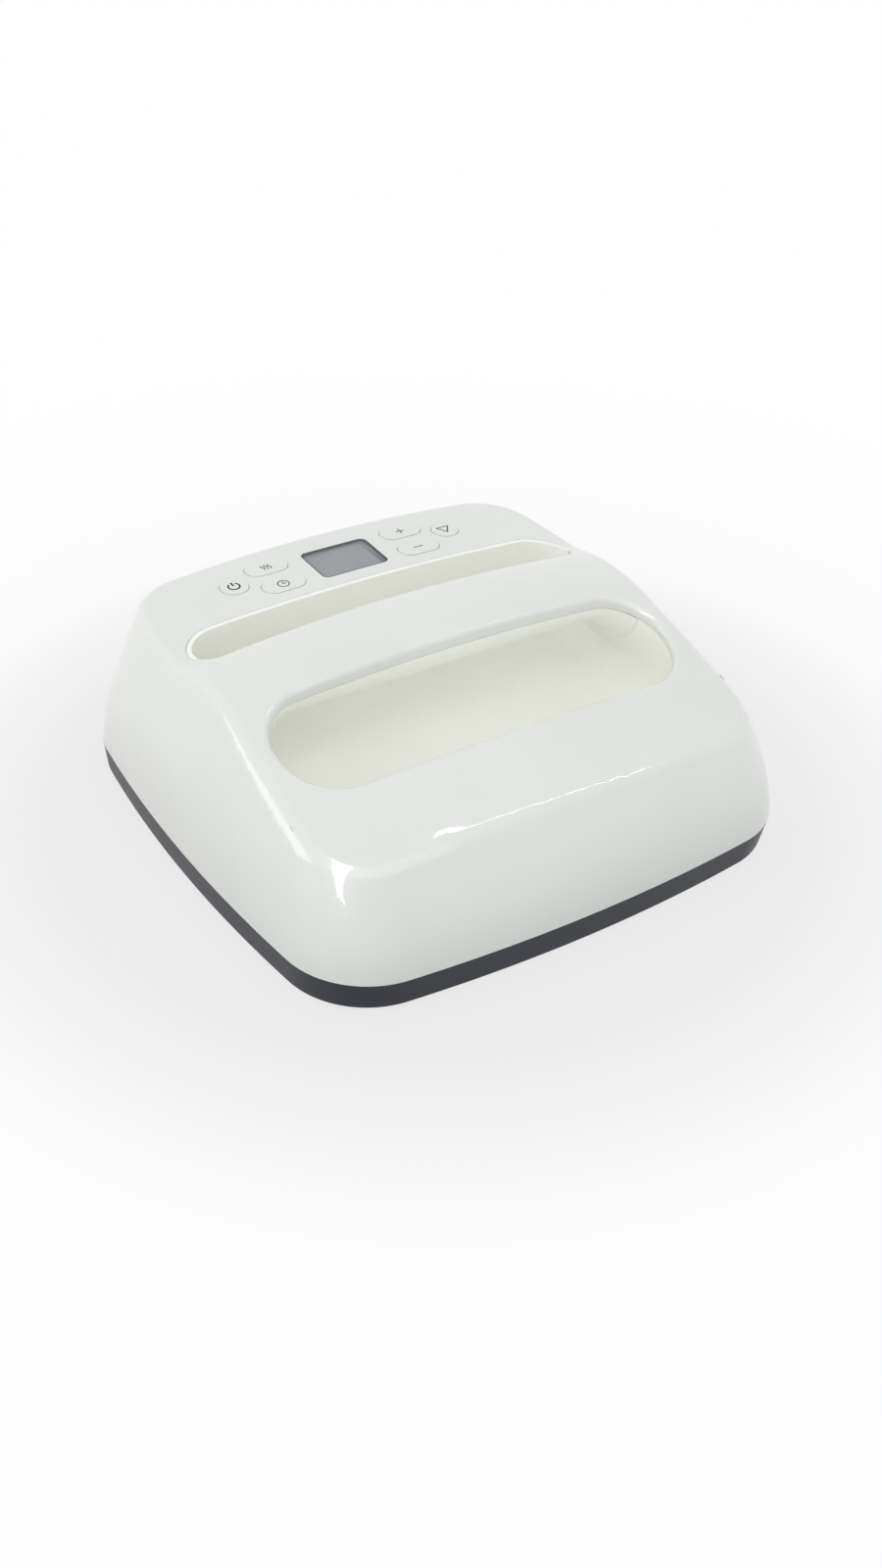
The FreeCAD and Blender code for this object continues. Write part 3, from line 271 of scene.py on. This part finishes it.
@dataclass(frozen=True)
class Metal(Finish):
    """Bare or plated metal, brushed along one axis."""

    colour: Colour
    shade: Colour
    roughness: float = 0.3
    unevenness: float = 0.3
    brush_scale: float = 260.0
    brush_along: Sequence[float] = (0.06, 1.0, 1.0)
    brush_strength: float = 0.15
    brush_depth: float = 0.02 * MM

    def wire(self, bench: Bench) -> bpy.types.Node:
        """Wire the metal's nodes.

        Args:
            bench: the material to add to.

        Returns:
            The shader.
        """
        shader = bench.add("ShaderNodeBsdfPrincipled", Metallic=1.0)
        brush = bench.noise(self.brush_scale, detail=4.0, roughness=0.6, stretch=self.brush_along)
        bench.join(bench.blend(brush, self.colour, self.shade, low=0.3, high=0.7),
                   shader.inputs["Base Color"])
        bench.join(bench.vary(brush, self.roughness, self.unevenness),
                   shader.inputs["Roughness"])
        bench.join(bench.bump(brush, self.brush_strength, self.brush_depth),
                   shader.inputs["Normal"])
        return shader


@dataclass(frozen=True)
class CeramicCoat(Finish):
    """Speckled non-stick ceramic coat on the working face of the plate."""

    colour: Colour
    fleck: Colour
    roughness: float = 0.38
    unevenness: float = 0.3
    metallic: float = 0.15
    coat: float = 0.25
    coat_roughness: float = 0.25
    fleck_scale: float = 1400.0
    fleck_strength: float = 0.2
    fleck_depth: float = 0.02 * MM
    wear_scale: float = 30.0

    def wire(self, bench: Bench) -> bpy.types.Node:
        """Wire the coat's nodes.

        Args:
            bench: the material to add to.

        Returns:
            The shader.
        """
        shader = bench.add("ShaderNodeBsdfPrincipled", Metallic=self.metallic,
                           Coat_Weight=self.coat, Coat_Roughness=self.coat_roughness)
        fleck = bench.noise(self.fleck_scale, detail=1.0)
        bench.join(bench.blend(fleck, self.colour, self.fleck, low=0.60, high=0.68),
                   shader.inputs["Base Color"])
        wear = bench.noise(self.wear_scale, detail=5.0)
        bench.join(bench.vary(wear, self.roughness, self.unevenness),
                   shader.inputs["Roughness"])
        bench.join(bench.bump(fleck, self.fleck_strength, self.fleck_depth),
                   shader.inputs["Normal"])
        return shader


@dataclass(frozen=True)
class Fibre(Finish):
    """Felted ceramic-fibre blanket."""

    colour: Colour
    shade: Colour
    roughness: float = 0.95
    sheen: float = 0.3
    tuft_scale: float = 320.0
    tuft_along: Sequence[float] = (1.0, 0.4, 1.0)
    tuft_strength: float = 0.7
    tuft_depth: float = 0.4 * MM

    def wire(self, bench: Bench) -> bpy.types.Node:
        """Wire the blanket's nodes.

        Args:
            bench: the material to add to.

        Returns:
            The shader.
        """
        shader = bench.add("ShaderNodeBsdfPrincipled", Roughness=self.roughness,
                           Sheen_Weight=self.sheen)
        tufts = bench.noise(self.tuft_scale, detail=6.0, roughness=0.7, stretch=self.tuft_along)
        bench.join(bench.blend(tufts, self.shade, self.colour, low=0.3, high=0.7),
                   shader.inputs["Base Color"])
        bench.join(bench.bump(tufts, self.tuft_strength, self.tuft_depth),
                   shader.inputs["Normal"])
        return shader


@dataclass(frozen=True)
class Sleeve(Finish):
    """Rubber or silicone sleeve with a dull skin."""

    colour: Colour
    shade: Colour
    roughness: float = 0.6
    unevenness: float = 0.1
    specular: float = 0.35
    skin_scale: float = 180.0
    skin_strength: float = 0.25
    skin_depth: float = 0.05 * MM

    def wire(self, bench: Bench) -> bpy.types.Node:
        """Wire the sleeve's nodes.

        Args:
            bench: the material to add to.

        Returns:
            The shader.
        """
        shader = bench.add("ShaderNodeBsdfPrincipled", Specular_IOR_Level=self.specular)
        skin = bench.noise(self.skin_scale, detail=4.0)
        bench.join(bench.blend(skin, self.colour, self.shade), shader.inputs["Base Color"])
        bench.join(bench.vary(skin, self.roughness, self.unevenness),
                   shader.inputs["Roughness"])
        bench.join(bench.bump(skin, self.skin_strength, self.skin_depth),
                   shader.inputs["Normal"])
        return shader


@dataclass(frozen=True)
class CircuitLaminate(Finish):
    """Solder-masked circuit board with faint tracks under the mask."""

    mask: Colour
    track: Colour
    roughness: float = 0.4
    coat: float = 0.5
    coat_roughness: float = 0.15
    track_scale: float = 120.0
    track_width: float = 0.03
    track_strength: float = 0.3
    track_depth: float = 0.03 * MM

    def wire(self, bench: Bench) -> bpy.types.Node:
        """Wire the board's nodes.

        Args:
            bench: the material to add to.

        Returns:
            The shader.
        """
        shader = bench.add("ShaderNodeBsdfPrincipled", Coat_Weight=self.coat,
                           Coat_Roughness=self.coat_roughness, Roughness=self.roughness)
        place = bench.add("ShaderNodeTexCoord")
        tracks = bench.add("ShaderNodeTexBrick", Scale=self.track_scale, Color1=self.mask,
                           Color2=self.track, Mortar=self.track, Mortar_Size=self.track_width)
        bench.join(place.outputs["Object"], tracks.inputs["Vector"])
        bench.join(tracks.outputs["Color"], shader.inputs["Base Color"])
        bench.join(bench.bump(tracks.outputs["Fac"], self.track_strength, self.track_depth),
                   shader.inputs["Normal"])
        return shader


@dataclass(frozen=True)
class ClearPane(Finish):
    """Clear moulded pane, thin enough to see the display through it."""

    colour: Colour
    roughness: float = 0.03
    smeared: float = 2.5
    opacity: float = 0.12
    refraction: float = 1.49
    smear_scale: float = 60.0

    def wire(self, bench: Bench) -> bpy.types.Node:
        """Wire the pane's nodes.

        Args:
            bench: the material to add to.

        Returns:
            The shader.
        """
        shader = bench.add("ShaderNodeBsdfPrincipled", Base_Color=self.colour,
                           Alpha=self.opacity, IOR=self.refraction)
        smear = bench.noise(self.smear_scale, detail=5.0)
        bench.join(bench.spread(smear, self.roughness, self.roughness * self.smeared),
                   shader.inputs["Roughness"])
        return shader


@dataclass(frozen=True)
class LiquidCrystal(Finish):
    """Grey liquid-crystal panel, switched off."""

    colour: Colour
    shade: Colour
    roughness: float = 0.32
    specular: float = 0.4
    cloud_scale: float = 40.0
    grain_scale: float = 4000.0
    grain_strength: float = 0.1
    grain_depth: float = 0.01 * MM

    def wire(self, bench: Bench) -> bpy.types.Node:
        """Wire the panel's nodes.

        Args:
            bench: the material to add to.

        Returns:
            The shader.
        """
        shader = bench.add("ShaderNodeBsdfPrincipled", Roughness=self.roughness,
                           Specular_IOR_Level=self.specular)
        cloud = bench.noise(self.cloud_scale, detail=2.0)
        bench.join(bench.blend(cloud, self.colour, self.shade), shader.inputs["Base Color"])
        grain = bench.noise(self.grain_scale, detail=0.0)
        bench.join(bench.bump(grain, self.grain_strength, self.grain_depth),
                   shader.inputs["Normal"])
        return shader


@dataclass(frozen=True)
class PrintedInk(Finish):
    """Matt ink printed on the keys."""

    colour: Colour
    shade: Colour
    roughness: float = 0.5
    specular: float = 0.3
    coverage_scale: float = 2500.0

    def wire(self, bench: Bench) -> bpy.types.Node:
        """Wire the ink's nodes.

        Args:
            bench: the material to add to.

        Returns:
            The shader.
        """
        shader = bench.add("ShaderNodeBsdfPrincipled", Roughness=self.roughness,
                           Specular_IOR_Level=self.specular)
        coverage = bench.noise(self.coverage_scale, detail=2.0)
        bench.join(bench.blend(coverage, self.colour, self.shade, low=0.4, high=0.7),
                   shader.inputs["Base Color"])
        return shader


FINISHES: dict[str, Finish] = {
    "shell_white": MouldedPlastic(tint(228, 229, 224), tint(225, 226, 221), roughness=0.3,
                                  coat=1.0, coat_roughness=0.03, specular=0.3, grain_strength=0.03),
    "key_white": MouldedPlastic(tint(229, 230, 225), tint(226, 227, 222), roughness=0.25,
                                coat=0.6, coat_roughness=0.06, grain_strength=0.05),
    # well_cream is lighter and paler than the liner's own cream: painted light that lifts the shade in the scoop
    # and the slot.
    "well_cream": MouldedPlastic(tint(250, 250, 243), tint(247, 247, 239), roughness=0.38,
                                 coat=0.15, coat_roughness=0.2, glow=0.1),
    "skirt_grey": MouldedPlastic(tint(44, 46, 56), tint(39, 41, 50), roughness=0.4,
                                 specular=0.3, grain_scale=1500.0, grain_strength=0.2),
    "gland_grey": Sleeve(tint(58, 59, 65), tint(52, 53, 59)),
    "plate_coating": CeramicCoat(tint(70, 70, 73), tint(120, 120, 122)),
    "steel": Metal(tint(150, 146, 140), tint(120, 114, 108), roughness=0.45),
    "screw_steel": Metal(tint(190, 190, 188), tint(165, 165, 163), roughness=0.28,
                         brush_scale=900.0),
    "sheet_steel": Metal(tint(186, 188, 190), tint(168, 170, 172), roughness=0.35,
                         brush_scale=120.0),
    "aluminium_can": Metal(tint(205, 206, 208), tint(188, 189, 191), roughness=0.3,
                           brush_scale=500.0),
    "heatsink_alloy": Metal(tint(186, 187, 190), tint(160, 161, 164), roughness=0.4,
                            brush_scale=400.0, brush_along=(1.0, 1.0, 0.05)),
    "silicone": Sleeve(tint(172, 62, 48), tint(160, 54, 42), roughness=0.7),
    "fibre": Fibre(tint(238, 234, 222), tint(208, 202, 186)),
    "ceramic": MouldedPlastic(tint(240, 238, 232), tint(228, 226, 218), roughness=0.2, coat=0.6),
    "board_green": CircuitLaminate(tint(22, 92, 58), tint(34, 112, 70)),
    "nylon": MouldedPlastic(tint(236, 235, 228), tint(226, 225, 216), roughness=0.45, glow=0.15),
    "relay_black": MouldedPlastic(tint(34, 34, 37), tint(28, 28, 31), roughness=0.45),
    "capacitor_yellow": MouldedPlastic(tint(214, 176, 60), tint(204, 166, 52), roughness=0.4),
    "terminal_green": MouldedPlastic(tint(48, 140, 84), tint(40, 128, 76), roughness=0.4),
    "fuse_glass": ClearPane(tint(226, 232, 232), roughness=0.02),
    "switch_black": MouldedPlastic(tint(40, 40, 43), tint(33, 33, 36), roughness=0.5),
    "plunger_black": MouldedPlastic(tint(52, 52, 55), tint(44, 44, 47), roughness=0.4),
    "buzzer_black": MouldedPlastic(tint(30, 30, 32), tint(24, 24, 26), roughness=0.5),
    "window_clear": ClearPane(tint(214, 216, 220)),
    "bezel_black": MouldedPlastic(tint(66, 66, 70), tint(58, 58, 62), roughness=0.4),
    "display_grey": LiquidCrystal(tint(155, 156, 160), tint(149, 150, 154)),
    "lead_red": Sleeve(tint(176, 44, 36), tint(160, 36, 30)),
    "lead_white": Sleeve(tint(232, 230, 224), tint(220, 217, 208)),
    "ribbon_grey": Sleeve(tint(176, 178, 180), tint(160, 162, 166)),
}
INK_DARK = PrintedInk(tint(34, 36, 35), tint(44, 46, 44))
INK_SOFT = PrintedInk(tint(74, 76, 74), tint(86, 88, 85))


# ---------------------------------------------------------------- carried-over pieces
@dataclass
class CarriedPieces:
    """The pieces that come from the frame: their shading and their finishes."""

    weld_distance: float = 0.0005 * MM
    crease_angle: float = math.radians(28.0)

    def smoothing(self) -> bpy.types.NodeTree:
        """Geometry nodes that weld loose triangles and keep only real creases sharp.

        Returns:
            The node group.
        """
        group = bpy.data.node_groups.new("smooth_between_creases", "GeometryNodeTree")
        group.interface.new_socket("Geometry", in_out="INPUT", socket_type="NodeSocketGeometry")
        group.interface.new_socket("Geometry", in_out="OUTPUT", socket_type="NodeSocketGeometry")
        nodes, links = group.nodes, group.links
        entry = nodes.new("NodeGroupInput")
        leave = nodes.new("NodeGroupOutput")
        weld = nodes.new("GeometryNodeMergeByDistance")
        weld.inputs["Distance"].default_value = self.weld_distance
        faces = nodes.new("GeometryNodeSetShadeSmooth")
        faces.domain = "FACE"
        faces.inputs["Shade Smooth"].default_value = True
        angle = nodes.new("GeometryNodeInputMeshEdgeAngle")
        crease = nodes.new("FunctionNodeCompare")
        crease.data_type = "FLOAT"
        crease.operation = "GREATER_THAN"
        crease.inputs[1].default_value = self.crease_angle
        edges = nodes.new("GeometryNodeSetShadeSmooth")
        edges.domain = "EDGE"
        edges.inputs["Shade Smooth"].default_value = False
        links.new(entry.outputs[0], weld.inputs["Geometry"])
        links.new(weld.outputs["Geometry"], faces.inputs["Geometry"])
        links.new(faces.outputs["Geometry"], edges.inputs["Geometry"])
        links.new(angle.outputs["Unsigned Angle"], crease.inputs[0])
        links.new(crease.outputs["Result"], edges.inputs["Selection"])
        links.new(edges.outputs["Geometry"], leave.inputs[0])
        return group

    def dress(self) -> None:
        """Shade each carried-over piece smoothly and give it its slot's finish."""
        group = self.smoothing()
        made: dict[str, bpy.types.Material] = {}
        for part in frame["record"]["subparts"]:
            name, slot_name = part["node"], part["material_slot"]
            if slot_name not in made:
                made[slot_name] = FINISHES[slot_name].make(slot_name)
            piece = frame["nodes"][name]
            piece.data.materials.clear()
            piece.data.materials.append(made[slot_name])
            modifier = piece.modifiers.new("smooth", "NODES")
            modifier.node_group = group
            weighted = piece.modifiers.new("weighted", "WEIGHTED_NORMAL")
            weighted.keep_sharp = True
            LOG.info("dressed %s in %s", name, slot_name)


# ---------------------------------------------------------------- key marks
class Mark(Enum):
    """What is printed on each key."""

    POWER = "power"
    HEAT = "temperature"
    CLOCK = "timer"
    PLUS = "plus"
    MINUS = "minus"
    START = "start"


@dataclass
class KeyMarks:
    """Printed marks on the six keys, each a thin film that rides its key."""

    line: float = 0.95 * MM
    fine_line: float = 0.66 * MM
    film: float = 0.03 * MM
    lift: float = 0.01 * MM
    drop: float = 5.0 * MM               # height above the key from which a mark is cast down
    power_radius: float = 3.0 * MM
    power_gap: float = math.radians(66.0)
    power_bar: tuple[float, float] = (0.25, 1.25)   # its ends, as shares of the radius
    clock_radius: float = 3.0 * MM
    long_hand: float = 0.6               # share of the clock's radius
    short_hand: float = 0.45
    wave_radius: float = 1.2 * MM
    wave_half_turn: float = math.radians(60.0)
    wave_pitch: float = 1.9 * MM
    plus_arm: float = 2.35 * MM
    minus_arm: float = 2.5 * MM
    triangle_width: float = 7.2 * MM
    triangle_height: float = 5.7 * MM
    triangle_rise: float = 0.45          # share of the height behind the key's middle
    bar_overrun: float = 0.6             # share of a line's width by which its bar is longer
    bar_steps: int = 6
    arc_steps: int = 40

    def arc(self, bm: bmesh.types.BMesh, radius: float, line: float, start: float, turn: float,
            centre: tuple[float, float] = (0.0, 0.0)) -> None:
        """Add a flat arc.

        Args:
            bm: mesh to add to.
            radius: radius of the arc's middle line.
            line: width of the line.
            start: angle from +X where the arc starts, in radians.
            turn: angle that the arc covers.
            centre: centre of the arc.
        """
        along = Vector((math.cos(start), math.sin(start), 0.0))
        middle = Vector((centre[0], centre[1], 0.0))
        inner = bm.verts.new(middle + along * (radius - line / 2))
        outer = bm.verts.new(middle + along * (radius + line / 2))
        edge = bm.edges.new((inner, outer))
        bmesh.ops.spin(bm, geom=[inner, outer, edge], cent=middle, axis=(0.0, 0.0, 1.0),
                       angle=turn, steps=self.arc_steps, use_merge=turn >= FULL_TURN)

    def bar(self, bm: bmesh.types.BMesh, start: tuple[float, float], end: tuple[float, float],
            line: float) -> None:
        """Add a flat bar between two points.

        Args:
            bm: mesh to add to.
            start: first end.
            end: other end.
            line: width of the bar.
        """
        a, b = Vector((*start, 0.0)), Vector((*end, 0.0))
        reach = b - a
        turn = Matrix.Rotation(math.atan2(reach.y, reach.x), 4, "Z")
        size = Matrix.Diagonal((reach.length + line * self.bar_overrun, line, 1.0, 1.0))
        bmesh.ops.create_grid(bm, x_segments=self.bar_steps, y_segments=1, size=0.5,
                              matrix=Matrix.Translation((a + b) / 2) @ turn @ size)

    def power(self, bm: bmesh.types.BMesh) -> None:
        """Draw a broken ring with a bar in the gap.

        Args:
            bm: mesh to add to.
        """
        radius, (low, high) = self.power_radius, self.power_bar
        self.arc(bm, radius, self.line, math.pi / 2 + self.power_gap / 2,
                 FULL_TURN - self.power_gap)
        self.bar(bm, (0.0, low * radius), (0.0, high * radius), self.line)

    def heat(self, bm: bmesh.types.BMesh) -> None:
        """Draw three rising waves, each two arcs that meet half way up.

        Args:
            bm: mesh to add to.
        """
        radius, half_turn = self.wave_radius, self.wave_half_turn
        shift, rise = radius * math.cos(half_turn), radius * math.sin(half_turn)
        for place in (-1.0, 0.0, 1.0):
            x = place * self.wave_pitch
            for sign in (1.0, -1.0):
                start = math.pi / 2 + sign * math.pi / 2 - half_turn
                self.arc(bm, radius, self.fine_line, start, 2 * half_turn,
                         (x + sign * shift, sign * rise))

    def clock(self, bm: bmesh.types.BMesh) -> None:
        """Draw a ring with two hands.

        Args:
            bm: mesh to add to.
        """
        radius, line = self.clock_radius, self.fine_line
        self.arc(bm, radius, line, 0.0, FULL_TURN)
        self.bar(bm, (0.0, 0.0), (0.0, self.long_hand * radius), line)
        self.bar(bm, (0.0, 0.0), (self.short_hand * radius, 0.0), line)

    def plus(self, bm: bmesh.types.BMesh) -> None:
        """Draw an upright cross.

        Args:
            bm: mesh to add to.
        """
        arm, line = self.plus_arm, self.fine_line
        self.bar(bm, (-arm, 0.0), (arm, 0.0), line)
        self.bar(bm, (0.0, line), (0.0, arm), line)
        self.bar(bm, (0.0, -arm), (0.0, -line), line)

    def minus(self, bm: bmesh.types.BMesh) -> None:
        """Draw a level bar."""
        self.bar(bm, (-self.minus_arm, 0.0), (self.minus_arm, 0.0), self.fine_line)

    def start(self, bm: bmesh.types.BMesh) -> None:
        """Draw the outline of a triangle that points to the front.

        Args:
            bm: mesh to add to.
        """
        half, back = self.triangle_width / 2, self.triangle_height * self.triangle_rise
        corners = [(-half, back), (half, back), (0.0, back - self.triangle_height)]
        for first, second in zip(corners, corners[1:] + corners[:1]):
            self.bar(bm, first, second, self.fine_line)

    def print_on(self, key: str, inward: Vector, draw: Callable[[bmesh.types.BMesh], None],
                 ink: bpy.types.Material) -> bpy.types.Object:
        """Print one mark on the top of a key.

        Args:
            key: the key's node.
            inward: the way the key travels.
            draw: draws the mark flat about the origin.
            ink: the ink's material.

        Returns:
            The mark.
        """
        bm = bmesh.new()
        draw(bm)
        low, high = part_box(key)
        middle = (low + high) / 2
        up = -inward
        side = Vector((1.0, 0.0, 0.0))
        back = up.cross(side)
        turn = Matrix((side, back, up)).transposed().to_4x4()
        above = Vector((middle.x, middle.y, high.z)) + up * self.drop
        bmesh.ops.transform(bm, matrix=Matrix.Translation(above) @ turn, verts=bm.verts)
        tree = BVHTree.FromObject(frame["nodes"][key], bpy.context.evaluated_depsgraph_get())
        for vert in bm.verts:
            hit = tree.ray_cast(vert.co, inward)[0]
            vert.co = hit + up * self.lift
        bmesh.ops.recalc_face_normals(bm, faces=bm.faces)
        for face in bm.faces:
            if face.normal.dot(up) < 0:
                face.normal_flip()
        name = key.replace("_key", "_mark")
        mesh = bpy.data.meshes.new(name)
        bm.to_mesh(mesh)
        bm.free()
        mark = bpy.data.objects.new(name, mesh)
        bpy.context.scene.collection.objects.link(mark)
        mesh.materials.append(ink)
        film = mark.modifiers.new("film", "SOLIDIFY")
        film.thickness = self.film
        film.offset = 1.0
        return mark

    def build(self) -> None:
        """Print every key's mark and let it ride on its key's body."""
        draws = {Mark.POWER: self.power, Mark.HEAT: self.heat, Mark.CLOCK: self.clock,
                 Mark.PLUS: self.plus, Mark.MINUS: self.minus, Mark.START: self.start}
        dark, soft = INK_DARK.make("ink_dark"), INK_SOFT.make("ink_soft")
        bpy.context.view_layer.update()
        for joint in frame["joints"]:
            mark = Mark(joint["name"].replace("_press", ""))
            ink = dark if mark in (Mark.POWER, Mark.START) else soft
            piece = self.print_on(mark.value + "_key", Vector(joint["axis"]).normalized(),
                                  draws[mark], ink)
            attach(piece, joint["child"])
            LOG.info("printed %s", piece.name)


# ---------------------------------------------------------------- studio
@dataclass(frozen=True)
class Softbox:
    """A rectangular lamp aimed at a point."""

    name: str
    place: tuple[float, float, float]
    aim: tuple[float, float, float]
    size: tuple[float, float]
    watts: float
    along: tuple[float, float, float] = (1.0, 0.0, 0.0)
    only_shines: bool = False            # seen as a reflection, and lights nothing

    def hang(self) -> None:
        """Add the lamp to the scene, its first side turned along its given direction."""
        lamp = bpy.data.lights.new(self.name, "AREA")
        lamp.shape = "RECTANGLE"
        lamp.size, lamp.size_y = self.size
        lamp.energy = self.watts
        holder = bpy.data.objects.new(self.name, lamp)
        away = (Vector(self.place) - Vector(self.aim)).normalized()
        side = (Vector(self.along) - away * away.dot(Vector(self.along))).normalized()
        turn = Matrix((side, away.cross(side), away)).transposed().to_4x4()
        holder.matrix_world = Matrix.Translation(Vector(self.place)) @ turn
        holder.visible_diffuse = not self.only_shines
        bpy.context.scene.collection.objects.link(holder)


LAMPS = (
    Softbox("front_softbox", place=(-0.2, -0.9, 1.4), aim=(0.0, 0.0, 0.05), size=(1.4, 1.4),
            watts=5.0),
    Softbox("side_softbox", place=(-1.6, 0.5, 0.75), aim=(0.0, 0.0, 0.05), size=(0.9, 0.9),
            watts=5.5),
    Softbox("tall_window", place=(-0.9, -0.62, 1.11), aim=(-0.11, -0.105, 0.065),
            size=(0.32, 2.0), watts=12.0, along=(0.55, -0.84, 0.0), only_shines=True),
    Softbox("deck_strip", place=(0.763, -0.225, 1.39), aim=(-0.017, -0.114, 0.071),
            size=(1.05, 0.035), watts=1.2, along=(0.569, -0.763, -0.307), only_shines=True),
)


@dataclass
class Studio:
    """Pale floor, white surroundings, soft lamps and the camera."""

    floor_half: float = 14.0
    floor_drop: float = 0.2 * MM
    # Darker paper and less glow near the press paint a shade ring round it, on top of its real shadow; the dark
    # paper also cuts the light the floor bounces onto the press's low sides.
    near_paper_painted_shade: Colour = tint(150, 150, 150)
    far_paper: Colour = tint(240, 240, 240)
    paper_change: float = 0.1
    near_glow_painted_shade: float = 0.78
    near_reach: float = 0.2
    far_reach: float = 0.62
    surround: float = 0.8
    surround_tint: Colour = tint(250, 252, 255)
    camera_azimuth: float = -34.180
    camera_elevation: float = 35.303
    camera_roll: float = 1.9005
    camera_distance: float = 0.898169
    camera_aim: tuple[float, float, float] = (0.0098245, 0.0028350, 0.0)
    camera_far: float = 100.0
    focal_pixels: float = 1727.479
    frame_height_pixels: float = 1600.0
    sensor_height: float = 36.0

    def floor(self) -> None:
        """Lay the floor, painted darker near the press as a painted shade round it, with its real shadow added
        there, and running out to white.
        """
        bm = bmesh.new()
        bmesh.ops.create_grid(bm, x_segments=1, y_segments=1, size=self.floor_half,
                              matrix=Matrix.Translation((0.0, 0.0, -self.floor_drop)))
        mesh = bpy.data.meshes.new("floor")
        bm.to_mesh(mesh)
        bm.free()
        floor = bpy.data.objects.new("floor", mesh)
        bpy.context.scene.collection.objects.link(floor)
        bench = Bench("floor_paper")
        paper = bench.add("ShaderNodeBsdfDiffuse")
        glow = bench.add("ShaderNodeEmission", Color=WHITE, Strength=1.0)
        place = bench.add("ShaderNodeTexCoord")
        away = bench.add("ShaderNodeVectorMath", operation="LENGTH")
        # Less glow near the press: painted shade round it, fading out to white.
        share = bench.add("ShaderNodeMapRange", interpolation_type="SMOOTHSTEP",
                          From_Min=self.near_reach, From_Max=self.far_reach,
                          To_Min=self.near_glow_painted_shade, To_Max=1.0)
        bench.join(place.outputs["Object"], away.inputs[0])
        bench.join(bench.blend(away.outputs["Value"], self.near_paper_painted_shade, self.far_paper,
                               low=self.near_reach, high=self.near_reach + self.paper_change),
                   paper.inputs["Color"])
        bench.join(away.outputs["Value"], share.inputs["Value"])
        mix = bench.add("ShaderNodeMixShader")
        glowing = bench.add("ShaderNodeMath", operation="MULTIPLY")
        bench.join(self.seen(bench.tree), glowing.inputs[0])
        bench.join(share.outputs["Result"], glowing.inputs[1])
        bench.join(glowing.outputs[0], mix.inputs["Fac"])
        bench.join(paper.outputs["BSDF"], mix.inputs[1])
        bench.join(glow.outputs["Emission"], mix.inputs[2])
        bench.join(mix.outputs["Shader"], bench.output.inputs["Surface"])
        mesh.materials.append(bench.material)

    def seen(self, tree: bpy.types.NodeTree) -> bpy.types.NodeSocket:
        """Whether a ray shows the background, straight or through a mirror or glass.

        Args:
            tree: the node tree to add to.

        Returns:
            The socket, 1 for camera, glossy and transmission rays and 0 for the rest.
        """
        path = tree.nodes.new("ShaderNodeLightPath")
        total = path.outputs["Is Camera Ray"]
        for kind in ("Is Glossy Ray", "Is Transmission Ray"):
            add = tree.nodes.new("ShaderNodeMath")
            add.operation = "ADD"
            add.use_clamp = True
            tree.links.new(total, add.inputs[0])
            tree.links.new(path.outputs[kind], add.inputs[1])
            total = add.outputs[0]
        return total

    def world(self) -> None:
        """White surroundings: full white where seen, softer as a light."""
        world = bpy.data.worlds.new("surround")
        world.use_nodes = True
        tree = world.node_tree
        tree.nodes.clear()
        out = tree.nodes.new("ShaderNodeOutputWorld")
        light = tree.nodes.new("ShaderNodeBackground")
        light.inputs["Color"].default_value = self.surround_tint
        light.inputs["Strength"].default_value = self.surround
        white = tree.nodes.new("ShaderNodeBackground")
        white.inputs["Color"].default_value = WHITE
        mix = tree.nodes.new("ShaderNodeMixShader")
        tree.links.new(self.seen(tree), mix.inputs["Fac"])
        tree.links.new(light.outputs[0], mix.inputs[1])
        tree.links.new(white.outputs[0], mix.inputs[2])
        tree.links.new(mix.outputs[0], out.inputs["Surface"])
        bpy.context.scene.world = world

    def camera(self) -> None:
        """Set the camera on its orbit round the aim point, with its roll."""
        azimuth, elevation = math.radians(self.camera_azimuth), math.radians(self.camera_elevation)
        back = Vector((math.sin(azimuth) * math.cos(elevation),
                       -math.cos(azimuth) * math.cos(elevation), math.sin(elevation)))
        right = (-back).cross(Vector((0.0, 0.0, 1.0))).normalized()
        up = right.cross(-back)
        roll = math.radians(self.camera_roll)
        side = right * math.cos(roll) + up * math.sin(roll)
        top = -right * math.sin(roll) + up * math.cos(roll)
        turn = Matrix((side, top, back)).transposed().to_4x4()
        lens = bpy.data.cameras.new("camera")
        lens.sensor_fit = "VERTICAL"
        lens.sensor_height = self.sensor_height
        lens.lens = self.focal_pixels / self.frame_height_pixels * self.sensor_height
        lens.clip_end = self.camera_far
        holder = bpy.data.objects.new("camera", lens)
        place = Vector(self.camera_aim) + back * self.camera_distance
        holder.matrix_world = Matrix.Translation(place) @ turn
        bpy.context.scene.collection.objects.link(holder)
        bpy.context.scene.camera = holder

    def build(self) -> None:
        """Build the whole studio."""
        self.world()
        self.floor()
        for lamp in LAMPS:
            lamp.hang()
        self.camera()
        bpy.context.scene.view_settings.view_transform = "Standard"


def main() -> None:
    """Dress the press, print its marks and set the studio."""
    logging.basicConfig(level=logging.INFO, format="%(message)s")
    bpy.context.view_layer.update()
    CarriedPieces().dress()
    KeyMarks().build()
    Studio().build()


if __name__ == "__main__":
    main()
